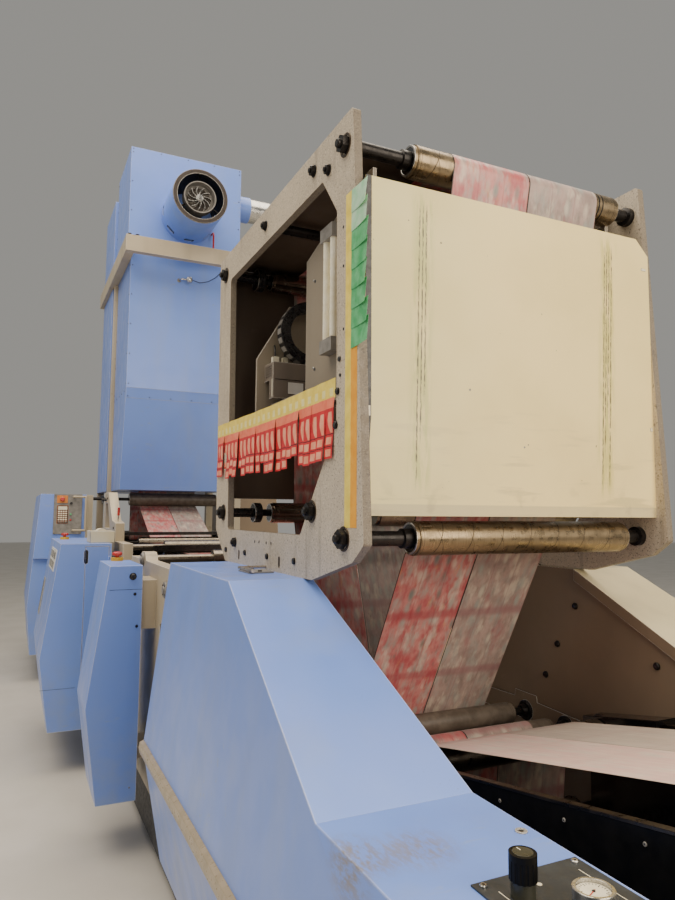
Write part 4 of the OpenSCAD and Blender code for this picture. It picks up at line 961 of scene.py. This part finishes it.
def chain_links(piece):
    """Link plates with dark pins, and light grey patches on the rim, painted highlights of the glossy links,
    round the half turn of the cable chain.
    """
    low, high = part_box("cable_chain")
    radius = (high.z - low.z) / 2
    hub = Vector((low.x + radius, 0, low.z + radius))
    thick, count = 0.045, 11
    for k in range(count):
        angle = pi / 2 + pi * (k + 0.5) / count
        out = Vector((cos(angle), 0, sin(angle)))
        turn = Matrix.Rotation(-angle, 3, "Y")
        for y, side in ((low.y, -Y), (high.y, Y)):
            at = hub + out * (radius - thick / 2) + Y * y
            piece.brick(at, (0.019, 0.0022, 0.015), MOULD, 0.001, turn)
            screw(piece, at + side * 0.0022, side, 0.005, socket=False)
        # Light grey patch on each link's rim: painted highlight.
        piece.brick(hub + out * radius + Y * (low.y + high.y) / 2, (0.0012, 0.022, 0.013), GREY, 0.0004, turn)


# Front unit


def console_fittings(piece):
    """Corner screws, printed lines and the gauge's dial on the console, with a grommet behind it."""
    low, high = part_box("control_panel")
    inset = 0.016
    for x in (low.x + inset, high.x - inset):
        for y in (low.y + inset, high.y - inset):
            screw(piece, (x, y, high.z), Z, 0.007, BRIGHT)
    for x in (low.x + 0.030, high.x - 0.030):
        piece.box((x - 0.0008, low.y + 0.04, high.z), (x + 0.0008, high.y - 0.04, high.z + 0.0003), IVORY, 0)
    piece.disc((low.x + 0.11, high.y - 0.05, high.z), Z, 0.005, 0.0004, IVORY, 16)
    gauge = [b for b in solids("pressure_gauge") if b[1].x - b[0].x > 0.06][0]
    r, depth = (gauge[1].x - gauge[0].x) / 2, 0.006
    dial = middle(gauge)
    dial.z = gauge[1].z - depth
    piece.disc(dial, Z, r - 0.0056, 0.0006, IVORY, 40)
    ticks = 21
    for k in range(ticks):
        turn = Matrix.Rotation(radians(225 - 270 * k / (ticks - 1)), 3, "Z")
        half = 0.0015 if k % 5 else 0.003
        piece.brick(dial + Z * 0.0008 + turn @ X * (r - 0.010 - half), (half, 0.0005, 0.0002), MOULD, 0, turn)
    turn = Matrix.Rotation(radians(205), 3, "Z")
    piece.brick(dial + Z * 0.0016 + turn @ X * 0.007, (0.013, 0.0008, 0.0003), RED, 0, turn)
    piece.disc(dial + Z * 0.0012, Z, 0.003, 0.0015, MOULD, 16)
    piece.ring(dial + Z * depth, Z, r - 0.0062, r - 0.001, 0.0012, BRIGHT, 40)
    grommet = (-0.628, -3.925, low.z)
    piece.ring(grommet, Z, 0.007, 0.013, 0.003, LIP, 24)
    # Black disc: painted shade of the grommet's hole.
    piece.disc(grommet, Z, 0.0072, 0.0008, BLACK, 20)


def knob_cap(piece):
    """A disc with a pointer line on the regulator knob."""
    at = centre("regulator_knob")
    at.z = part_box("regulator_knob")[1].z
    piece.disc(at, Z, 0.018, 0.0008, OLIVE, 32)
    piece.brick(at + Vector((0, 0.011, 0.00085)), (0.0008, 0.005, 0.00025), IVORY, 0)


def cabinet_fittings(piece):
    """A latch on the cabinet's top, and ridges along both bumper strips."""
    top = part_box("operator_cabinet")[1].z
    x0, x1, y0, y1 = -0.80, -0.70, -2.63, -2.50
    rod_x, rod_z = x0 + 0.01, top + 0.012
    piece.box((x0, y0, top), (x1, y1, top + 0.006), GREY)
    piece.tube([(rod_x, y0 - 0.02, rod_z), (rod_x, y1 + 0.02, rod_z)], 0.007, STEEL)
    piece.tube([(rod_x, y1 + 0.015, rod_z), (x1 + 0.03, y1 + 0.025, rod_z)], 0.006, STEEL)
    for y in (y0 + 0.02, y1 - 0.02):
        screw(piece, (x0 + 0.05, y, top + 0.006), Z, 0.008)
    low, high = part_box("cabinet_bumpers")
    waist = (low.z + high.z) / 2
    for x, side in ((low.x, 1), (high.x, -1)):
        for off in (-0.012, 0, 0.012):
            ridge_x = x + side * (0.0016 + abs(off) * 0.19)
            piece.tube([(ridge_x, y, waist + off) for y in (low.y + 0.004, high.y - 0.004)], 0.0016, RAIL, 8)


def drive_wall_fittings(piece):
    """Bolts, a guard bar and a bearing block on the inner wall of the drive side's cabinet."""
    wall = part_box("right_frame_plate")[0].x - 0.010
    for y, z in ((-2.858, 1.403), (-2.749, 1.230), (-2.673, 1.086), (-3.259, 1.235),
                 (-2.30, 1.40), (-2.30, 1.10)):
        screw(piece, (wall, y, z), -X, 0.014)
    step = [(-2.20, 0.943), (-2.462, 0.949), (-2.468, 0.980), (-2.610, 0.978), (-2.614, 0.950),
            (-2.93, 0.937), (-2.93, 0.86), (-2.20, 0.86)]
    piece.prism([(y, z + 0.003) for y, z in step], wall, wall + 0.003, MOULD)
    # The bearing block takes the wall's painted-shade brown.
    piece.prism(step, wall - 0.002, wall + 0.003, SHADED_DRIVE_WALL)
    seam = [Vector(p) for p in ((-2.60, 1.579), (-2.899, 1.446), (-3.344, 1.249), (-3.341, 0.90))]
    for p, q in zip(seam, seam[1:]):
        side = Vector((q.y - p.y, p.x - q.x)).normalized() * 0.0016
        piece.prism([p + side, q + side, q - side, p - side], wall + 0.004, wall + 0.006, MOULD)
    bar = [(-2.985, 1.003), (-2.985, 0.976), (-3.336, 1.028), (-3.336, 1.073)]
    piece.prism(bar, wall - 0.10, wall, BLACK, 0.003)
    for name in ("draw_roller", "wrap_roller"):
        piece.lathe(beside(wall, centre(name)), -X, [(0, 0.044), (0.010, 0.044), (0.014, 0.040),
                                                     (0.014, 0.028), (0.036, 0.024)], IRON)


def drive_cover_fittings(piece):
    """Quarter-turn locks, and louvres with a dark slit of painted shade under each cream lip, on the outer
    faces of the drive side's covers.
    """
    data = NODES["drive_covers"].data
    faces = BVHTree.FromPolygons([v.co for v in data.vertices], [p.vertices[:] for p in data.polygons])

    def hit(y, z):
        """The covers' outermost place there, the way out of it, and the turn of a block that lies on it."""
        at, normal, _, _ = faces.ray_cast(Vector((3.0, y, z)), -X)
        return at, normal, normal and normal.to_track_quat("X", "Z").to_matrix()

    for low, high in solids("drive_covers"):
        for y in (low.y + 0.10, high.y - 0.10):
            for z in (0.40, 0.64, 1.10):
                at, normal, turn = hit(y, z)
                if at and at.x > high.x - 0.25:
                    piece.lathe(at, normal, [(-0.001, 0.018), (0.004, 0.018), (0.006, 0.014)], STEEL, 24)
                    piece.brick(at + normal * 0.0062, (0.0004, 0.010, 0.0012), MOULD, 0, turn)
        for k in range(7):
            at, _, turn = hit((low.y + high.y) / 2, 0.42 + 0.026 * k)
            # Dark slit: painted shade under the louvre's cream lip.
            piece.brick(at, (0.003, 0.13, 0.004), MOULD, 0.001, turn)
            piece.brick(at + Z * 0.006, (0.006, 0.13, 0.002), CREAM, 0.001, turn)


def cover_screws(piece):
    """Screws round the rear face of the frame cover, whose dark brown is painted shade."""
    low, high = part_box("frame_cover")
    for share in (0.04, 0.35, 0.65, 0.96):
        for z in (low.z + 0.03, high.z - 0.05):
            screw(piece, (low.x + (high.x - low.x) * share, high.y, z), Y, 0.009, RING)


def tray_fittings(piece):
    """Grey-brown rails along the tray's upper edges, with small screws."""
    low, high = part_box("web_tray")
    far, near = (-3.17, 1.0215), (-4.325, 1.229)
    rail = [far, near, (near[0], near[1] + 0.007), (far[0], far[1] + 0.007)]
    for x in (low.x, high.x - 0.020):
        piece.prism(rail, x - 0.002, x + 0.022, RING, 0.001)
    for y in (-3.45, -3.67, -3.89, -4.105, -4.32):
        z = far[1] + (near[1] - far[1]) * (y - far[0]) / (near[0] - far[0]) - 0.03
        for x, out in ((low.x, -X), (high.x, X)):
            screw(piece, (x, y, z), out, 0.0045, GREY)


# Print units


def unit_one_fittings(piece):
    """Shield latch, bolts and seam."""
    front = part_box("unit_one_shield")[0].y
    knob = Vector((-1.001, front, 1.443))
    piece.lathe(knob, -Y, [(0, 0.019), (0.004, 0.019), (0.007, 0.014), (0.016, 0.013), (0.018, 0.011)],
                MOULD, 24)
    piece.brick(knob - Y * 0.019, (0.005, 0.003, 0.005), BLACK, 0.001)
    piece.box((-1.118, front - 0.0004, 1.3735), (-0.952, front + 0.001, 1.3755), MOULD, 0)
    for x, z, r, finish in ((-0.988, 1.350, 0.008, IRON), (-0.974, 1.182, 0.008, IRON),
                            (-0.985, 0.36, 0.004, GREY)):
        screw(piece, (x, front, z), -Y, r, finish)


def bearing_caps(piece):
    """Bearing caps with bolts on the side frames, outside each cylinder, press roller and guide roller."""
    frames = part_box("side_frames")
    places = [(middle(b), 0.078 if b[1].z - b[0].z > 0.15 else 0.040) for b in solids("print_cylinders")]
    places += [(middle(b), 0.042) for b in solids("roller_shafts") if b[0].x < -0.78]
    for at, r in places:
        for x, out in ((frames[0].x, -X), (frames[1].x, X)):
            face = beside(x, at)
            cap = [(0, r), (0.010, r), (0.013, r - 0.003), (0.013, r * 0.5), (0.020, r * 0.45)]
            piece.lathe(face, out, cap, GREY)
            bolts = 6 if r > 0.05 else 4
            for k in range(bolts):
                a = 2 * pi * (k + 0.5) / bolts
                screw(piece, face + out * 0.013 + Vector((0, cos(a), sin(a))) * r * 0.75, out, r * 0.12)


def unit_two_fittings(piece):
    """Button strip and window on the cabinet's outer slope, its lower seam, and fittings on the top."""
    low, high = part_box("unit_two_cabinet")
    top, kink_z, shoulder, slope = high.z, 0.774, 0.340, 0.108

    def lean(z):
        """X of the leaning outer face at a height."""
        return high.x - shoulder - slope * (top - z) / (top - kink_z)

    def pad(y0, y1, z0, z1, proud, finish):
        x0, x1 = lean(z0), lean(z1)
        outline = [(x0 + 0.001, z0), (x1 + 0.001, z1), (x1 - proud, z1), (x0 - proud, z0)]
        piece.prism(outline, y0, y1, finish, min(0.001, proud / 3), "Y")

    pad(0.34, 0.98, 1.352, 1.506, 0.004, WHITE)
    slots = 7
    for k in range(slots):
        y = 0.37 + 0.59 * k / slots
        for z in (1.368, 1.437):
            pad(y, y + 0.055, z, z + 0.052, 0.006, MOULD if (k + (z > 1.4)) % 3 else GREY)
    pad(1.06, 1.25, 0.958, 1.245, 0.004, GREY)
    pad(1.075, 1.235, 0.972, 1.231, 0.006, BLACK)
    seam = 0.575
    piece.box((lean(seam + 0.2) + 0.01, low.y + 0.0136, seam - 0.001),
              (-1.151, low.y + 0.0146, seam + 0.001), MOULD, 0)
    x0, x1, y0, y1, wall, rim = -1.075, -0.905, 0.24, 0.50, 0.004, top + 0.085
    piece.box((x0, y0, top), (x1, y1, top + wall), CREAM)
    for x in (x0, x1 - wall):
        piece.box((x, y0, top), (x + wall, y1, rim), CREAM)
    for y in (y0, y1 - wall):
        piece.box((x0, y, top), (x1, y + wall, rim), CREAM)
    roll = [(0, 0.024), (0, 0.045), (0.14, 0.045), (0.14, 0.024)]
    piece.lathe((x0 + 0.085, y0 + 0.05, top + 0.058), Y, roll, IVORY)
    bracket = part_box("unit_two_bracket")
    knob = Vector((bracket[0].x, 1.12, bracket[1].z - 0.06))
    piece.lathe(knob, -X, [(0, 0.012), (0.02, 0.012), (0.022, 0.02), (0.036, 0.018), (0.038, 0.015)],
                MOULD, 20)
    for k in range(6):
        arm = Vector((0, cos(pi * k / 3), sin(pi * k / 3)))
        piece.tube([knob - X * 0.030 + arm * reach for reach in (0.012, 0.039)], 0.0065, MOULD)
    lever = Vector(((bracket[0].x + bracket[1].x) / 2, bracket[0].y + 0.12, top + 0.145))
    piece.tube([lever, lever + Vector((0, -0.01, 0.06))], 0.006, BRIGHT)
    piece.tube([lever + Vector((0, -0.01, 0.055)), lever + Vector((0, -0.022, 0.115))], 0.010, RED)
    for y, z in ((0.60, 1.60), (0.60, 1.66), (1.20, 1.60), (1.02, 1.90), (1.20, 1.90)):
        screw(piece, (bracket[0].x, y, z), -X, 0.010)


# Dryer tower and blower


def rivets(piece, start, end, axis, pitch):
    """Screws in a straight row from start to end, about a pitch apart."""
    start, end = Vector(start), Vector(end)
    count = max(1, round((end - start).length / pitch))
    for k in range(count + 1):
        screw(piece, start.lerp(end, k / count), axis, 0.006, RING)


def tower_fittings(piece):
    """Screw rows down the tower's panels, panel seams, caps on the ring, a ball lamp and a red pipe."""
    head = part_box("tower_head")
    low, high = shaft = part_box("tower_shaft")
    fold, inset, pitch = 3.112, 0.022, 0.29
    for (a, b), z0, z1 in ((head, head[0].z + 0.06, head[1].z - 0.06), (shaft, fold + 0.04, high.z - 0.22)):
        for x in (a.x + inset, b.x - inset):
            rivets(piece, (x, a.y, z0), (x, a.y, z1), -Y, pitch)
        for x, out in ((a.x, -X), (b.x, X)):
            for y in (a.y + inset, b.y - inset):
                rivets(piece, (x, y, z0), (x, y, z1), out, pitch)
    edge_z = head[1].z - 0.02
    rivets(piece, (head[0].x + inset, head[0].y, edge_z), (head[1].x - inset, head[0].y, edge_z), -Y, pitch)
    for x, out in ((low.x, -X), (high.x, X)):
        rivets(piece, (x, low.y + 0.12, fold - 0.03), (x, high.y - inset, fold - 0.03), out, 0.2)
        piece.box((x - 0.0006, low.y + 0.002, fold - 0.001), (x + 0.0006, high.y - 0.002, fold + 0.001),
                  LIP, 0)
    piece.box((low.x + 0.002, low.y - 0.0008, fold - 0.001), (high.x - 0.002, low.y + 0.001, fold + 0.001),
              LIP, 0)
    lean = Vector((0, -1.082, -0.25)).normalized()
    lap_z, lap_y = fold - 0.11, low.y + 0.11 * 0.25 / 1.082
    piece.box((low.x + 0.004, lap_y - 0.0009, lap_z - 0.001), (high.x - 0.004, lap_y + 0.001, lap_z + 0.001),
              LIP, 0)
    for k in range(6):
        x = low.x + inset + (high.x - low.x - 2 * inset) * k / 5
        screw(piece, (x, lap_y - 0.004, lap_z + 0.018), lean, 0.006, RING)
    a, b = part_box("tower_column")
    for x in (a.x + inset, b.x - inset):
        rivets(piece, (x, b.y, low.z + 0.1), (x, b.y, b.z - 0.06), Y, pitch)
    for z in (3.2, head[0].z):
        piece.box((a.x + 0.002, b.y - 0.001, z - 0.001), (b.x - 0.002, b.y + 0.0008, z + 0.001), LIP, 0)
    hatch = Vector(((a.x + b.x) / 2, b.y, 3.925))
    wide, tall = 0.36, 0.475
    piece.brick(hatch + Y * 0.001, (wide, 0.002, tall), BLUE)
    for z in (0.12 - tall, tall - 0.12):
        for x in (0.03 - wide, wide - 0.03):
            lock = hatch + Vector((x, 0.003, z))
            piece.lathe(lock, Y, [(0, 0.016), (0.004, 0.016), (0.007, 0.012)], MOULD, 20)
            piece.brick(lock + Y * 0.007, (0.0015, 0.0005, 0.008), BRIGHT, 0)
    low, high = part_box("ring_cross_beams")
    for x in (low.x + 0.02, low.x + 0.10):
        piece.box((x, low.y + 0.02, high.z), (x + 0.034, low.y + 0.06, high.z + 0.022), MOULD)
    ball, r = Vector((0.060, 2.330, 4.352)), 0.038
    piece.tube([ball + Vector((-0.10, 0.072, 0.0)), ball + Vector((-0.085, 0.01, 0)), ball], 0.009, BRIGHT)
    globe = [(r * (1 - cos(pi * k / 10)), max(r * sin(pi * k / 10), 0.002)) for k in range(11)]
    piece.lathe(ball - X * r, X, globe, BRIGHT, 24)
    piece.disc(ball + Vector((-0.10, 0.072, 0)), -Y, 0.022, 0.006, GREY)
    lead = ((0.036, 0, 0), (0.12, 0.012, -0.012), (0.22, 0.03, 0.022), (0.31, 0.050, 0.09),
            (0.36, 0.068, 0.150))
    piece.tube([ball + Vector(p) for p in lead], 0.004, IRON)
    pipe_x, pipe_y = 0.312, 2.30
    piece.tube([(pipe_x, pipe_y, head[0].z), (pipe_x, pipe_y, 4.90), (pipe_x, pipe_y + 0.02, 4.93),
                (pipe_x, head[0].y, 4.94)], 0.010, RED)


def fan_hub(piece):
    """Chrome rings round the fan's hub."""
    at = centre("fan_wheel")
    at.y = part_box("fan_wheel")[0].y
    piece.ring(at, -Y, 0.0155, 0.033, 0.004, BRIGHT)
    piece.ring(at + Y * 0.010, -Y, 0.034, 0.040, 0.006, BRIGHT, 40)


def blower_fittings(piece):
    """A nut before the fan, a dark rim round the inlet, guard ring screws and the motor's spokes."""
    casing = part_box("blower_casing")
    r = (casing[1].x - casing[0].x) / 2
    mouth = middle(casing)
    mouth.y = casing[0].y
    piece.ring(mouth + Y * 0.001, -Y, r - 0.048, r - 0.040, 0.0009, LIP, 64)
    for out in around(Y, 8, pi / 8, X):
        screw(piece, mouth + out * (r - 0.022), -Y, 0.005, socket=False)
    nut_at = centre("fan_wheel")
    nut_at.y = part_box("fan_wheel")[0].y - 0.006
    piece.disc(nut_at, -Y, 0.014, 0.004, BRIGHT)
    mouth.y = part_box("blower_motor")[0].y + 0.05
    for out in around(Y, 3, -pi / 2, X):
        piece.tube([mouth + out * reach for reach in (0.169, r - 0.012)], 0.008, IRON)


# Rear unit


def rear_fittings(piece):
    """Orange square with a red button, a display with keys and a small knob on the rear panel."""
    low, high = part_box("rear_keypad")
    y = low.y
    piece.box((-1.169, y - 0.004, 1.879), (-1.061, y, 1.961), AMBER, 0.002)
    piece.lathe((-1.115, y - 0.004, 1.92), -Y, [(0, 0.018), (0.010, 0.018), (0.010, 0.024), (0.020, 0.024),
                                                (0.026, 0.016)], RED, 28)
    piece.box((-1.165, y - 0.005, 1.661), (-1.052, y, 1.855), MOULD, 0.002)
    piece.box((-1.155, y - 0.0062, 1.806), (-1.062, y - 0.004, 1.845), IVORY, 0.001)
    for row in range(6):
        for column in range(4):
            x, z = -1.155 + 0.024 * column, 1.672 + 0.022 * row
            piece.box((x, y - 0.0085, z), (x + 0.020, y - 0.004, z + 0.0165), IVORY if row else GREY, 0.0014)
    piece.lathe((-1.026, y, 1.879), -Y, [(0, 0.014), (0.006, 0.014), (0.008, 0.011), (0.022, 0.010)],
                MOULD, 24)
    for z, finish in ((1.70, RED), (1.76, GREEN)):
        piece.lathe((-1.026, y, z), -Y, [(0, 0.010), (0.006, 0.010), (0.009, 0.007)], finish, 20)
    for x in (low.x + 0.012, high.x - 0.012):
        for z in (low.z + 0.012, high.z - 0.012):
            screw(piece, (x, y, z), -Y, 0.006, GREY)


def fittings():
    """Each listed function fills the piece of its own name. The paper pieces draw random numbers in turn."""
    plate_fittings()
    roller_ends()
    bodies = {knob_cap: "regulator_knob", fan_hub: "fan_wheel"}
    for slot, *group in (("yellow_plastic", tapes), ("red_plastic", paper_tags), ("paper", paper_flags),
                         ("black_steel", shaft_sleeves, drive_wall_fittings, cover_screws),
                         ("black_plastic", sheet_fittings, inspection_fittings, chain_links, knob_cap,
                          unit_one_fittings),
                         ("bright_metal", console_fittings, fan_hub), ("beige_paint", cabinet_fittings),
                         ("steel", drive_cover_fittings, tray_fittings, bearing_caps, tower_fittings,
                          blower_fittings),
                         ("white_paint", unit_two_fittings, rear_fittings)):
        for fill in group:
            piece = Piece(fill.__name__, slot, bodies.get(fill, HOME))
            fill(piece)
            piece.done(flat=fill in (tapes, paper_tags, paper_flags))


camera()
studio()
dress_all()
paper()
fittings()
